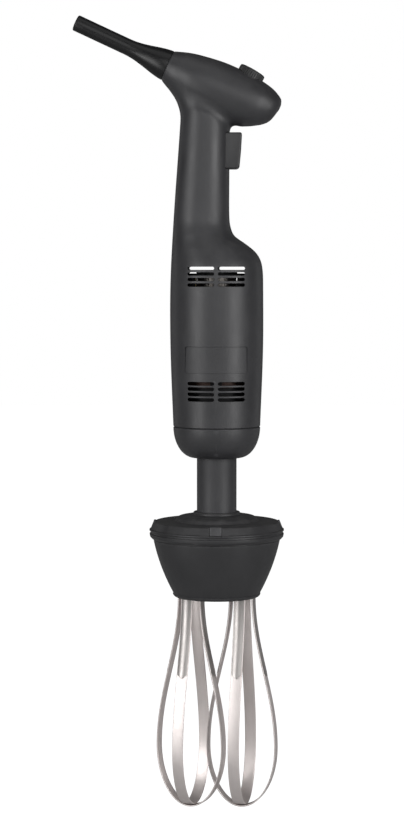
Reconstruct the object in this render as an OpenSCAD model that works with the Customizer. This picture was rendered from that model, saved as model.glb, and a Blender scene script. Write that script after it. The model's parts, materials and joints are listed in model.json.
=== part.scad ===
// Stick-type hand mixer with a twin-whisk gearbox foot.
// Origin: on the drive axis, where the bare stem leaves the nose of the motor body.
// +Z runs up the drive axis, +X points to the trigger side, the case halves split on y = 0.

/* [Motor body] */
// Radius of the round motor body
body_r = 40; // [36:0.5:46]
// Radius of the case at its joint with the nose
nose_r = 37.6; // [35.5:0.1:39]
// Height of the joint between case and nose
nose_h = 27; // [24:0.5:32]
// Height where the shoulder starts to run in to the grip
shoulder_z = 150; // [148:1:165]
// Wall thickness of the case
wall = 2.6; // [2:0.1:3]

/* [Grip] */
// Distance of the grip's front face from the drive axis
grip_front = 10.7; // [9:0.1:14]
// Distance of the grip's back face from the drive axis, low down
grip_back = 37.2; // [34:0.1:40]
// Distance of the grip's back face from the drive axis, under the head
grip_back_top = 30.4; // [28:0.1:34]
// Half of the grip's thickness
grip_half = 19.6; // [18:0.1:24]

/* [Head] */
// Length of the head, from the cord boot to its beak
head_len = 102; // [98:0.2:126]
// Rise of the head's back over the cord axis
head_top = 23.3; // [22:0.1:28]
// Depth of the head's belly below the cord axis
head_belly = 22.5; // [21:0.1:26]
// Half of the head's thickness
head_half = 23.5; // [22:0.1:28]
// Slope of the head and of the cord axis, degrees
head_tilt = 25; // [20:0.1:30]

/* [Cord boot] */
// Length of the boot outside the head
boot_len = 87.4; // [60:0.2:105]
// Radius of the boot's straight tube
boot_r = 7; // [6:0.1:8.5]
// Radius of the boot where it meets the head
boot_seat_r = 13.5; // [12:0.1:15]
// Radius of the cord bore
cord_r = 4; // [3:0.1:4.5]

/* [Controls] */
// Radius of the speed dial
dial_r = 11.6; // [10:0.1:13]
// Height of the dial, top to underside
dial_h = 9; // [8:0.1:11]
// Half of the trigger's width
trigger_half = 10; // [8:0.1:11]
// Height of the trigger
trigger_h = 31; // [26:0.5:37]
// Travel of the trigger
trigger_travel = 4.5; // [3:0.1:5]

/* [Vents and label] */
// Length of one vent slot
slot_len = 22.8; // [19:0.1:24]
// Height of an upper vent slot
upper_slot_h = 2.7; // [2.2:0.1:3.2]
// Height of a lower vent slot
lower_slot_h = 3; // [2.4:0.1:3.4]
// Width of the blank label
label_w = 53.2; // [44:0.2:58]
// Height of the blank label
label_h = 23.8; // [20:0.2:28]

/* [Stem] */
// Outer radius of the stem
stem_r = 17.2; // [16.2:0.1:18]
// Wall thickness of the stem
stem_wall = 3; // [2:0.1:3.5]
// Length of bare stem between nose and gearbox
stem_len = 47; // [30:1:120]

/* [Gearbox] */
// Radius of the gearbox rim
rim_r = 58.4; // [57.5:0.1:62]
// Radius of the gearbox floor, before its rounded corner
floor_r = 38.2; // [37.6:0.1:42]
// Height of the gearbox, stem joint to floor
gearbox_h = 74; // [72:0.2:90]
// Distance between the two whisk spindles
spindle_pitch = 44.5; // [44:0.1:46]
// Width of a gear's teeth
gear_w = 7.2; // [6:0.1:7.5]

/* [Whisks] */
// Largest radius of a whisk
whisk_r = 31; // [27:0.2:32]
// Length of a whisk below its hub's top
whisk_len = 196; // [164:1:236]
// Width of the steel strip
strip_w = 10.2; // [8:0.1:12]
// Thickness of the steel strip
strip_t = 1.2; // [1:0.1:1.4]
// Length of the pointed fingers that stiffen the whisk's legs
finger_len = 80; // [60:1:90]

/* [Motor] */
// Radius of the motor shaft and of the drive shaft
shaft_r = 4; // [3.5:0.1:4.5]
// Radius of the armature
armature_r = 18.5; // [16:0.1:19]
// Radius of the commutator
commutator_r = 17; // [14:0.1:18]
// Radius of the field core
stator_r = 33; // [32:0.1:35]

/* [Hidden] */

$fn = 64;
far = 400;

// Clearances: touching parts, running fits and loose gaps
touch = 0.02;
running = 0.04;
gap = 0.3;

// Where the head's cord axis meets the boot
head_x = -41.8;
head_z = 336.5;
// The plane, below the cord axis, where the grip column runs in to the head
grip_cut = 16;

// Speed dial: centre of its top and slope of its face
dial_x = 31.4;
dial_z = 333.2;
dial_tilt = 29.7;

// Trigger: middle height and how far it stands out
trigger_z = 263.9;
trigger_out = 21.6;
trigger_back = 4;

// Vent rows: top row of each bank, and the pitch between rows
upper_row_z = shoulder_z + 13.4;
upper_row_pitch = 4.7;
lower_row_z = 65.5;
lower_row_pitch = 4.55;
slot_start = 1.6;
label_z = 85.5;
label_depth = 0.8;
label_t = 0.5;

// Case screws: where each boss stands, as [x, z]
screw_seat_y = 7;
boss_r = 4;
bosses = [
    [-31, nose_h + 9], [31, nose_h + 9],
    [-29, shoulder_z + 37], [26, shoulder_z + 26],
    [-12, 212], [-18, 298],
    [head_x + 90 * cos(head_tilt), head_z - 90 * sin(head_tilt)]
];

// Nose and stem
nose_floor = 12;
nose_foot_r = stem_r + 2.8;
spigot_h = 5;
flange_r = stem_r + 6.8;
flange_h = 3;
stem_screw_r = stem_r + 3.4;
bushing_h = 9;

// Gearbox heights, all below the stem joint
cover_z = -stem_len;
stem_foot = cover_z - 7;
cover_floor = cover_z - 10.5;
parting_z = cover_z - 23.3;
gasket_t = 0.7;
box_top = parting_z - gasket_t;
box_bottom = cover_z - gearbox_h;
box_floor = box_bottom + 6.3;
box_wall = 3;
lip_r = rim_r - 3.4;
cavity_r = lip_r - 3.6;
lug_r = cavity_r - 5.4;
lug_boss_r = 4.2;
seal_r = 8;
clip_half = 5;
clip_r = cavity_r + 1.5;
clip_t = 1.2;

// Each whisk hub sits in a round pocket in the gearbox floor
pocket_r = 12.8;
pocket_h = 12;
pocket_wall = 2.6;
seat_z = box_bottom + pocket_h + 5;

// Gears: tooth counts, modules, levels and centres
pressure = 25;
pinion_n = 12;
idler_n = 36;
spindle_n = 44;
first_m = 1;
second_m = spindle_pitch / spindle_n;
idler_dist = first_m * (pinion_n + idler_n) / 2;
idler_to_spindle = second_m * (pinion_n + spindle_n) / 2;
spindle_x = spindle_pitch / 2;
idler_x = (pow(idler_to_spindle, 2) - pow(idler_dist, 2) - pow(spindle_x, 2)) / (2 * spindle_x);
idler_y = sqrt(pow(idler_dist, 2) - pow(idler_x, 2));
first_z = cover_floor - 1.9 - gear_w;
second_z = first_z - 2.8 - gear_w;
pin_r = 3;

// A tooth's phase, so that gear b meshes with gear a, which has a tooth at phase_a
function mesh_phase(beta, n_a, phase_a, n_b) =
    beta + 180 - (0.5 - (beta - phase_a) * n_a / 360) * 360 / n_b;
idler_bearing = atan2(idler_y, idler_x);
idler_phase = mesh_phase(idler_bearing, pinion_n, 0, idler_n);
to_left = atan2(-idler_y, -spindle_x - idler_x);
left_phase = mesh_phase(to_left, pinion_n, 0, spindle_n);
right_phase = mesh_phase(0, spindle_n, left_phase, spindle_n);

// Spindles and whisks
spindle_r = 5;
spindle_flat = 4.2;
spindle_bush_r = 7;
spindle_boss_r = 8.8;
spindle_tip = box_bottom + 0.2;
hub_top = box_bottom + pocket_h - 1.2;
hub_h = 12.6;
hub_half = 9.2;
left_turn = -21;
right_turn = -14;

// Motor levels
bracket_low_z = nose_h + 9;
bracket_low_h = 5;
bearing_h = 4.5;
bearing_r = 11;
fan_z = 49;
fan_h = 12;
fan_r = 24;
stator_z = 70;
stator_h = 54;
coil_h = 8.5;
coil_r = 27.5;
bracket_up_z = shoulder_z + 6.4;
commutator_z = shoulder_z - 7;
shaft_top = bracket_up_z + bearing_h - 0.2;
bars = 24;
brush_z = shoulder_z - 0.3;
brush_half = 3;

// Coupling between motor and drive shaft
jaw_z = nose_h - 1.3;
jaw_h = 5.8;
coupling_r = 12;
jaw_angle = 40;
disc_h = 3.8;

// ---------- curves ----------

// Smooth curve through [station, value] pairs
function span(t, v, i = 0) = i >= len(t) - 2 || v < t[i + 1][0] ? i : span(t, v, i + 1);
function rise(t, a, b) = (t[b][1] - t[a][1]) / (t[b][0] - t[a][0]);
function slope(t, i) = rise(t, max(0, i - 1), min(len(t) - 1, i + 1));
function curve(t, v) = let (
        i = span(t, v),
        h = t[i + 1][0] - t[i][0],
        u = min(1, max(0, (v - t[i][0]) / h)),
        s = 3 * u * u - 2 * u * u * u
    )
    (1 - s) * t[i][1] + s * t[i + 1][1]
    + u * (1 - u) * h * ((1 - u) * slope(t, i) - u * slope(t, i + 1));

// Case stations by height: front, back and half thickness
front_curve = [
    [nose_h, nose_r], [94, body_r], [shoulder_z, body_r], [shoulder_z + 12, body_r - 0.5],
    [shoulder_z + 20, body_r - 2.2], [shoulder_z + 27, body_r - 6.4],
    [shoulder_z + 34, (body_r + grip_front) / 2], [shoulder_z + 41, grip_front + 4.8],
    [shoulder_z + 48, grip_front + 1.4], [shoulder_z + 56, grip_front + 0.2],
    [shoulder_z + 80, grip_front], [shoulder_z + 180, grip_front + 0.6]
];
back_curve = [
    [nose_h, nose_r], [94, body_r], [shoulder_z, body_r],
    [shoulder_z + 56, grip_back], [shoulder_z + 155, grip_back_top],
    [shoulder_z + 180, grip_back_top]
];
half_curve = [
    [nose_h, nose_r], [94, body_r], [shoulder_z, body_r], [shoulder_z + 15, body_r - 1.6],
    [shoulder_z + 28, body_r - 7], [shoulder_z + 40, (body_r + grip_half) / 2 - 4],
    [shoulder_z + 54, grip_half + 1], [shoulder_z + 80, grip_half],
    [shoulder_z + 180, grip_half + 0.6]
];

// Head stations along the cord axis: back, belly and half thickness
head_top_curve = [
    [0, boot_seat_r], [0.125 * head_len, 0.55 * boot_seat_r + 0.45 * head_top],
    [0.25 * head_len, head_top - 2.7], [0.43 * head_len, head_top - 0.3],
    [0.6 * head_len, head_top], [0.72 * head_len, head_top - 0.5],
    [0.81 * head_len, head_top - 1.7], [0.89 * head_len, head_top - 3.6],
    [0.945 * head_len, head_top - 6.1], [0.985 * head_len, head_top - 9],
    [head_len, head_top - 13]
];
head_belly_curve = [
    [0, boot_seat_r], [0.05 * head_len, boot_seat_r + 2.4], [0.165 * head_len, head_belly - 3.1],
    [0.25 * head_len, head_belly - 1], [0.5 * head_len, head_belly],
    [0.75 * head_len, head_belly - 1.5], [0.82 * head_len, head_belly - 4.5],
    [0.877 * head_len, head_belly - 7.9], [0.935 * head_len, head_belly - 12.2],
    [0.975 * head_len, head_belly - 17.9], [head_len, head_belly - 28]
];
head_half_curve = [
    [0, boot_seat_r], [0.1 * head_len, boot_seat_r + 3.6], [0.24 * head_len, head_half - 2],
    [0.43 * head_len, head_half], [0.67 * head_len, head_half - 0.5],
    [0.82 * head_len, head_half - 3], [0.915 * head_len, head_half - 7.5],
    [0.965 * head_len, head_half - 11.5], [0.99 * head_len, head_half - 15.5],
    [head_len, head_half - 20]
];

// ---------- general shapes ----------

// Skins a stack of rings, each a list of points in the same order
module skin(rings) {
    n = len(rings[0]);
    last = len(rings) - 1;
    polyhedron(
        points = [for (ring = rings) each ring],
        faces = [
            [for (i = [0:n - 1]) i],
            for (k = [0:last - 1])
                for (i = [0:n - 1])
                    let (a = k * n + i, b = k * n + (i + 1) % n)
                        each [[a, a + n, b], [b, a + n, b + n]],
            [for (i = [n - 1:-1:0]) last * n + i]
        ],
        convexity = 10
    );
}

module rod(r, z0, z1, sides = 64) {
    translate([0, 0, z0])
        cylinder(r = r, h = z1 - z0, $fn = sides);
}

module pipe(outer, inner, z0, z1) {
    difference() {
        rod(outer, z0, z1);
        rod(inner, z0 - 1, z1 + 1);
    }
}

module block(low, high) {
    translate(low)
        cube(high - low);
}

// A sector of a ring, centred on an angle
module sector(outer, inner, z0, z1, middle, angle) {
    rotate([0, 0, middle - angle / 2])
        translate([0, 0, z0])
            rotate_extrude(angle = angle)
                translate([inner, 0])
                    square([outer - inner, z1 - z0]);
}

// A helical spring along +Z, with the ends' centres at 0 and length
module coil_spring(r, wire, turns, length) {
    steps = 14;
    sides = 6;
    count = turns * steps;
    skin([
        for (k = [0:count])
            let (a = 360 * k / steps, z = wire + (length - 2 * wire) * k / count)
                [
                    for (i = [0:sides - 1])
                        let (b = -360 * i / sides, q = r + wire * cos(b))
                            [q * cos(a), q * sin(a), z + wire * sin(b)]
                ]
    ]);
}

// A round wire along [x, z] points, at one y
module wire_run(points, y, r) {
    sides = 8;
    last = len(points) - 1;
    skin([
        for (k = [0:last])
            let (
                d = points[min(last, k + 1)] - points[max(0, k - 1)],
                side = [d[1], -d[0]] / norm(d)
            )
            [
                for (i = [0:sides - 1])
                    let (b = -360 * i / sides, p = points[k] + side * r * cos(b))
                        [p[0], y + r * sin(b), p[1]]
            ]
    ]);
}

// ---------- gears ----------

function roll(a) = tan(a) * 180 / PI - a;
function flank(n, m, play, r) = let (
        rb = m * n / 2 * cos(pressure),
        half = 90 / n - play / (m * n / 2) * 180 / PI
    )
    half + roll(pressure) - (r > rb ? roll(acos(rb / r)) : 0);

module gear(n, m, phase, z0, width) {
    root = m * (n / 2 - 1.25);
    tip = m * (n / 2 + 1);
    base = m * n / 2 * cos(pressure);
    start = max(root, base);
    steps = 4;
    play = 0.06;
    radii = concat(
        root < base ? [root] : [],
        [for (i = [0:steps]) start + (tip - start) * i / steps]
    );
    top = len(radii) - 1;
    translate([0, 0, z0])
        rotate([0, 0, phase])
            linear_extrude(height = width)
                polygon([
                    for (k = [0:n - 1])
                        for (i = [0:2 * top + 1])
                            let (
                                j = i <= top ? i : 2 * top + 1 - i,
                                a = 360 * k / n + (i <= top ? -1 : 1) * flank(n, m, play, radii[j])
                            )
                            radii[j] * [cos(a), sin(a)]
                ]);
}

// ---------- case ----------

module on_head() {
    translate([head_x, 0, head_z])
        rotate([0, head_tilt, 0])
            children();
}

module on_dial() {
    translate([dial_x, 0, dial_z])
        rotate([0, dial_tilt, 0])
            children();
}

case_sides = 32;
column_rings = 26;
head_rings = 16;
hole_fn = 24;

// The body and grip, made smaller all round by inset
module column(inset, z0, cut) {
    z1 = shoulder_z + 180;
    intersection() {
        skin([
            for (k = [0:column_rings])
                let (
                    z = z0 + (z1 - z0) * k / column_rings,
                    front = curve(front_curve, z) - inset,
                    back = curve(back_curve, z) - inset,
                    half = curve(half_curve, z) - inset
                )
                [
                    for (i = [0:case_sides - 1])
                        let (a = 360 * i / case_sides)
                            [(front - back) / 2 + (front + back) / 2 * cos(a), half * sin(a), z]
                ]
        ]);
        on_head()
            block([-far, -far, -2 * far], [far, far, -cut]);
    }
}

// The head, made smaller all round by inset
module head(inset) {
    on_head()
        skin([
            for (k = [0:head_rings])
                let (
                    t = inset + (head_len - 2 * inset) * sin(90 * k / head_rings),
                    top = curve(head_top_curve, t) - inset,
                    belly = curve(head_belly_curve, t) - inset,
                    half = curve(head_half_curve, t) - inset
                )
                [
                    for (i = [0:case_sides - 1])
                        let (a = -360 * i / case_sides)
                            [t, half * sin(a), (top - belly) / 2 + (top + belly) / 2 * cos(a)]
                ]
        ]);
}

module case_form(inset) {
    column(inset, inset > 0 ? nose_h - 1 : nose_h, grip_cut - inset);
    head(inset);
}

module vent_slot(x0, z, h) {
    hull()
        for (x = [x0 + h / 2, x0 + slot_len - h / 2])
            translate([x, far, z])
                rotate([90, 0, 0])
                    cylinder(r = h / 2, h = 2 * far, $fn = 12);
}

module vents() {
    for (x0 = [slot_start, -slot_start - slot_len])
        for (row = [0:3]) {
            vent_slot(x0, upper_row_z - row * upper_row_pitch, upper_slot_h);
            vent_slot(x0, lower_row_z - row * lower_row_pitch, lower_slot_h);
        }
}

module trigger_window(inset) {
    block(
        [0, -trigger_half - inset, trigger_z - trigger_h / 2 - inset],
        [far, trigger_half + inset, trigger_z + trigger_h / 2 + inset]
    );
}

// One half of the case: side is -1 for the left half and 1 for the right half
module case_half(side) {
    difference() {
        intersection() {
            union() {
                difference() {
                    case_form(0);
                    case_form(wall);
                }
                intersection() {
                    case_form(wall / 2);
                    for (at = bosses)
                        translate([at[0], 0, at[1]])
                            rotate([-90 * side, 0, 0])
                                cylinder(r = boss_r, h = far, $fn = hole_fn);
                }
            }
            block([-far, side < 0 ? -far : 0, -far], [far, side < 0 ? 0 : far, 2 * far]);
        }
        vents();
        trigger_window(gap);
        on_dial()
            rod(dial_r + gap + 0.2, -dial_h - 6, far, 2 * hole_fn);
        on_head()
            rotate([0, -90, 0])
                rod(boot_seat_r - 4.3 + gap, -wall - 2, 1, 2 * hole_fn);
        for (at = bosses)
            translate([at[0], 0, at[1]])
                rotate([-90 * side, 0, 0])
                    if (side < 0)
                        rod(1.5, -1, 10, hole_fn);
                    else {
                        rod(1.8, -1, far, hole_fn);
                        rod(3.4, screw_seat_y, far, hole_fn);
                    }
    }
}

module housing_left() {
    color([0.13, 0.13, 0.14])
        difference() {
            case_half(-1);
            intersection() {
                pipe(far, body_r - label_depth, label_z - label_h / 2, label_z + label_h / 2);
                block([-label_w / 2, -far, 0], [label_w / 2, 0, far]);
            }
        }
}

module housing_right() {
    color([0.14, 0.14, 0.15])
        case_half(1);
}

module housing_screws() {
    color([0.6, 0.6, 0.6])
        for (at = bosses)
            translate([at[0], 0, at[1]])
                rotate([-90, 0, 0])
                    difference() {
                        union() {
                            rod(1.45, -9, screw_seat_y + 0.5);
                            rod(3.1, screw_seat_y, screw_seat_y + 2.4);
                        }
                        translate([0, 0, screw_seat_y + 1])
                            cylinder(r = 1.5, h = 3, $fn = 6);
                    }
}

module label_plate() {
    color([0.2, 0.2, 0.21])
        intersection() {
            pipe(
                body_r - label_depth + label_t,
                body_r - label_depth + touch,
                label_z - label_h / 2 + gap,
                label_z + label_h / 2 - gap
            );
            block([-label_w / 2 + gap, -far, 0], [label_w / 2 - gap, 0, far]);
        }
}

// ---------- nose and stem ----------

module nose_cap() {
    color([0.12, 0.12, 0.13])
        difference() {
            rotate_extrude()
                polygon(concat(
                    [[stem_r + touch, 0]],
                    [
                        for (a = [0:9:90])
                            [nose_foot_r + (nose_r - nose_foot_r) * sin(a), nose_h * (1 - cos(a))]
                    ],
                    [
                        [nose_r - wall - gap, nose_h],
                        [nose_r - wall - gap, nose_h + spigot_h],
                        [nose_r - 2 * wall - gap, nose_h + spigot_h],
                        [nose_r - 2 * wall - gap, nose_floor],
                        [stem_r + touch, nose_floor]
                    ]
                ));
            stem_screw_holes(1.5, 3, nose_floor + 1);
        }
}

module stem_screw_holes(r, z0, z1) {
    for (a = [45:90:315])
        rotate([0, 0, a])
            translate([stem_screw_r, 0, 0])
                rod(r, z0, z1);
}

module stem_tube() {
    color([0.1, 0.1, 0.11])
        difference() {
            union() {
                rod(stem_r, stem_foot, nose_floor);
                rod(flange_r, nose_floor, nose_floor + flange_h);
            }
            rod(stem_r - stem_wall, stem_foot - 1, nose_floor + flange_h + 1);
            stem_screw_holes(1.7, nose_floor - 0.5, nose_floor + flange_h + 1);
        }
}

module stem_screws() {
    color([0.6, 0.6, 0.6]) {
        stem_screw_holes(1.45, 4, nose_floor + flange_h + 0.5);
        stem_screw_holes(2.6, nose_floor + flange_h, nose_floor + flange_h + 2.2);
    }
}

module stem_bushings() {
    color([0.72, 0.6, 0.35])
        for (z = [nose_floor - bushing_h, stem_foot + 10])
            pipe(stem_r - stem_wall - touch, shaft_r + running, z, z + bushing_h);
}

module shaft_seal() {
    color([0.05, 0.05, 0.05])
        pipe(seal_r - touch, shaft_r + running, cover_floor, stem_foot);
}

// ---------- gearbox ----------

module at_spindles() {
    for (x = [-spindle_x, spindle_x])
        translate([x, 0, 0])
            children();
}

module at_lugs() {
    for (a = [45:90:315])
        rotate([0, 0, a])
            translate([lug_r, 0, 0])
                children();
}

module at_idler() {
    translate([idler_x, idler_y, 0])
        children();
}

module gearbox_cover() {
    color([0.11, 0.11, 0.12])
        difference() {
            union() {
                rotate_extrude()
                    polygon([
                        [seal_r, cover_floor],
                        [seal_r, stem_foot],
                        [stem_r + touch, stem_foot],
                        [stem_r + touch, cover_z],
                        [stem_r + 2.6, cover_z],
                        [stem_r + 3.2, cover_z - 0.9],
                        [stem_r + 3.2, cover_z - 2.4],
                        [stem_r + 9.5, cover_z - 2.9],
                        [stem_r + 15.5, cover_z - 4],
                        [stem_r + 17.4, cover_z - 5],
                        [stem_r + 17.9, cover_z - 6.6],
                        [rim_r - 4.8, cover_z - 8.5],
                        [rim_r - 4, cover_z - 9.1],
                        [rim_r - 1.4, cover_z - 14.4],
                        [rim_r, cover_z - 15.2],
                        [rim_r, cover_z - 16.2],
                        [rim_r - 1.2, cover_z - 16.6],
                        [rim_r - 1.2, cover_z - 18.4],
                        [rim_r - 0.1, cover_z - 19],
                        [rim_r - 0.5, cover_z - 21.4],
                        [rim_r - 2.2, parting_z],
                        [cavity_r, parting_z],
                        [cavity_r, cover_floor - 2.5],
                        [cavity_r - 2.5, cover_floor]
                    ]);
                at_spindles()
                    rod(spindle_boss_r, first_z + 0.6, cover_floor + 1);
                at_lugs()
                    rod(lug_boss_r, parting_z, cover_floor + 1);
            }
            at_spindles()
                rod(spindle_bush_r, first_z, cover_floor);
            at_lugs()
                rod(1.7, parting_z - 1, parting_z + 9.2);
            at_idler()
                rod(pin_r, cover_floor - 1, cover_floor + 4);
            at_clips()
                clip_room(gap, cover_z - 15.2);
        }
}

module at_clips() {
    for (a = [0:90:270])
        rotate([0, 0, a])
            children();
}

// Room for one clip: its tongue's slot, and a notch above shoulder_low in the cover's rim
module clip_room(play, shoulder_low) {
    block(
        [clip_r - play, -clip_half - play, box_top - 2],
        [clip_r + clip_t + play, clip_half + play, cover_z]
    );
    block(
        [clip_r - play, -clip_half - play, shoulder_low],
        [far, clip_half + play, cover_z]
    );
}

// Four snap clips: a block in the rim, and a tongue down in to the gearbox's lip
module cover_clips() {
    color([0.09, 0.09, 0.1])
        at_clips()
            rotate([90, 0, 0])
                linear_extrude(height = 2 * clip_half, center = true)
                    polygon([
                        [clip_r, box_top - 1.8],
                        [clip_r + clip_t, box_top - 1.8],
                        [clip_r + clip_t, cover_z - 15.1],
                        [rim_r - 0.9, cover_z - 15.1],
                        [rim_r - 3.3, cover_z - 9],
                        [rim_r - 3.9, cover_z - 7.7],
                        [clip_r, cover_z - 7.7]
                    ]);
}

module gearbox_gasket() {
    color([0.04, 0.04, 0.04])
        difference() {
            pipe(lip_r - 0.4, cavity_r + 0.2, box_top, parting_z);
            at_clips()
                clip_room(gap, box_top - 1);
        }
}

// Outer radius of the gearbox at a height, with a slight belly
function cone_r(z) = let (u = (box_top - z) / (box_top - box_bottom - 4))
    lip_r + (floor_r - lip_r) * u + 1.9 * 4 * u * (1 - u);

module gearbox_body() {
    steps = 7;
    corner = 3;
    color([0.12, 0.12, 0.13])
        difference() {
            union() {
                rotate_extrude()
                    polygon(concat(
                        [
                            for (k = [0:steps])
                                let (z = box_top + (box_bottom + corner - box_top) * k / steps)
                                    [cone_r(z), z]
                        ],
                        [
                            for (a = [30:30:90])
                                [
                                    floor_r - corner + corner * cos(a),
                                    box_bottom + corner - corner * sin(a)
                                ]
                        ],
                        [[0, box_bottom], [0, box_floor], [floor_r - box_wall, box_floor]],
                        [
                            for (k = [steps - 1:-1:0])
                                let (z = box_top + (box_bottom + corner - box_top) * k / steps)
                                    [cone_r(z) - box_wall - 0.6, z]
                        ]
                    ));
                at_spindles() {
                    rod(pocket_r + pocket_wall, box_bottom + 3, seat_z);
                    rod(10.5, seat_z - 1, seat_z + 9.5);
                }
                at_idler()
                    rod(5, box_floor - 1, second_z - 1.8);
                intersection() {
                    at_lugs()
                        rod(lug_boss_r, box_top - 13, box_top);
                    rod(cavity_r, box_top - 14, box_top + 1);
                }
            }
            at_spindles() {
                rod(pocket_r, box_bottom - 1, box_bottom + pocket_h);
                rod(seal_r, box_bottom + pocket_h - 1, seat_z + 10);
            }
            at_lugs()
                rod(1.7, box_top - 9.2, box_top + 1);
            at_clips()
                clip_room(gap, cover_z - 1);
            at_idler()
                rod(pin_r, second_z - 8, second_z);
        }
}

module gearbox_dowels() {
    color([0.6, 0.6, 0.6])
        at_lugs()
            rod(1.65, box_top - 9, parting_z + 9);
}

module spindle_bushings() {
    color([0.72, 0.6, 0.35])
        at_spindles() {
            pipe(spindle_bush_r - touch, spindle_r + running, first_z + 0.6, cover_floor);
            pipe(seal_r - touch, spindle_r + running, seat_z, seat_z + 9.5);
        }
}

module spindle_seals() {
    color([0.05, 0.05, 0.05])
        at_spindles()
            pipe(seal_r - touch, spindle_r + running, box_bottom + pocket_h, seat_z);
}

module idler_pin() {
    color([0.7, 0.7, 0.7])
        at_idler()
            rod(pin_r - touch, second_z - 7.5, cover_floor + 3.5);
}

module idler_gear() {
    color([0.45, 0.45, 0.47])
        at_idler()
            difference() {
                union() {
                    gear(idler_n, first_m, idler_phase, first_z, gear_w);
                    rod(5, second_z + gear_w, first_z + 1);
                    gear(pinion_n, second_m, 0, second_z - 1, gear_w + 2);
                }
                rod(pin_r + running, -far, 0);
            }
}

module spindle(x) {
    translate([x, 0, 0]) {
        rod(spindle_r, hub_top, cover_floor - 0.5);
        rod(spindle_r + 2, seat_z + 10, second_z - 0.1);
        translate([0, 0, spindle_tip])
            linear_extrude(height = hub_top - spindle_tip)
                spindle_flats(0);
    }
}

module spindle_flats(clearance) {
    intersection() {
        circle(r = spindle_r + clearance);
        square(2 * [spindle_flat + clearance, far], center = true);
    }
}

module spindle_left() {
    color([0.72, 0.72, 0.74])
        spindle(-spindle_x);
}

module spindle_right() {
    color([0.72, 0.72, 0.74])
        spindle(spindle_x);
}

module spindle_gear(x, phase) {
    translate([x, 0, 0])
        difference() {
            union() {
                gear(spindle_n, second_m, phase, second_z, gear_w);
                rod(spindle_r + 3, second_z, second_z + gear_w + 1.5);
            }
            rod(spindle_r + touch, -far, 0);
        }
}

module spindle_gear_left() {
    color([0.8, 0.78, 0.72])
        spindle_gear(-spindle_x, left_phase);
}

module spindle_gear_right() {
    color([0.8, 0.78, 0.72])
        spindle_gear(spindle_x, right_phase);
}

// ---------- whisks ----------

module whisk_hub(x, turn) {
    translate([x, 0, 0])
        difference() {
            rotate([0, 0, turn])
                intersection() {
                    block(
                        [-hub_half, -hub_half, hub_top - hub_h],
                        [hub_half, hub_half, hub_top]
                    );
                    rod(hub_half + 2.4, hub_top - hub_h, hub_top);
                }
            translate([0, 0, spindle_tip - 0.5])
                linear_extrude(height = far)
                    spindle_flats(running);
        }
}

// Half of a loop's centre line, from the hub down to the axis, as [radius, z]
function loop_half(depth) = let (
        foot = hub_top - whisk_len + strip_t / 2 + depth,
        leg = hub_half + touch + strip_t / 2,
        waist = hub_top - 0.05 * whisk_len,
        belly = hub_top - 0.733 * whisk_len,
        steps = 14
    )
    concat(
        [[leg, hub_top - 2]],
        [
            for (k = [0:steps])
                let (u = k / steps)
                    [
                        leg + (whisk_r - strip_t / 2 - leg) * (1 - cos(180 * u)) / 2,
                        waist + (belly - waist) * u
                    ]
        ],
        [
            for (k = [1:steps])
                let (a = 90 * k / steps)
                    [(whisk_r - strip_t / 2) * cos(a), belly - (belly - foot) * sin(a)]
        ]
    );

// The line moved sideways by half the strip's thickness
function beside(line, d) = [
    for (k = [0:len(line) - 1])
        let (
            v = k == len(line) - 1
                ? [-1, 0]
                : line[k + 1] - line[max(0, k - 1)],
            w = v / norm(v)
        )
        [max(0, line[k][0] - w[1] * d), line[k][1] + w[0] * d]
];

function mirrored(line) = [for (p = line) [-p[0], p[1]]];
function reversed(line) = [for (k = [len(line) - 1:-1:0]) line[k]];
function without_last(line) = [for (k = [0:len(line) - 2]) line[k]];

// One loop of flat steel strip, bent in its own plane
module whisk_loop(x, turn, depth) {
    line = loop_half(depth);
    outer = beside(line, strip_t / 2);
    inner = beside(line, -strip_t / 2);
    translate([x, 0, 0])
        rotate([0, 0, turn])
            rotate([90, 0, 0])
                linear_extrude(height = strip_w, center = true)
                    polygon(concat(
                        outer,
                        reversed(mirrored(without_last(outer))),
                        mirrored(inner),
                        reversed(without_last(inner))
                    ));
}

// The inner loop crosses above the outer one, clear of its rise across a strip's width
loop_rise = 0.267 * whisk_len * (1 - sqrt(1 - pow(strip_w / 2 / whisk_r, 2)));
loop_step = strip_t + loop_rise + 0.2;

// A loop's radius at a height, and the factor that its slope adds to an offset
function leg_r(table, z) = lookup(z, table);
function leg_lean(table, z) = norm([(leg_r(table, z + 1) - leg_r(table, z - 1)) / 2, 1]);

// One pointed finger outside a leg of the loop with this turn
module finger(turn) {
    thick = 1;
    half = strip_w / 2 - 0.8;
    steps = 16;
    top = hub_top - 2;
    shoulder = hub_top - finger_len + 3;
    table = [for (p = loop_half(0)) [p[1], p[0]]];
    stations = concat(
        [for (k = [0:steps]) [top + (shoulder - top) * k / steps, half]],
        [[shoulder - 3, 0.6]]
    );
    rotate([0, 0, turn])
        skin([
            for (s = stations)
                let (
                    lean = leg_lean(table, s[0]),
                    inner = leg_r(table, s[0]) + (strip_t / 2 + 0.06) * lean,
                    outer = leg_r(table, s[0]) + (strip_t / 2 + thick) * lean
                )
                [
                    [inner, -s[1], s[0]], [inner, s[1], s[0]],
                    [outer, s[1], s[0]], [outer, -s[1], s[0]]
                ]
        ]);
}

module whisk_fingers(x, turn) {
    translate([x, 0, 0])
        for (quarter = [0:3])
            finger(turn + 90 * quarter);
}

module whisk_fingers_left() {
    color([0.7, 0.69, 0.67])
        whisk_fingers(-spindle_x, left_turn);
}

module whisk_fingers_right() {
    color([0.7, 0.69, 0.67])
        whisk_fingers(spindle_x, right_turn);
}

module whisk_hub_left() {
    color([0.6, 0.6, 0.62])
        whisk_hub(-spindle_x, left_turn);
}

module whisk_loop_a_left() {
    color([0.78, 0.77, 0.75])
        whisk_loop(-spindle_x, left_turn, 0);
}

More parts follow.
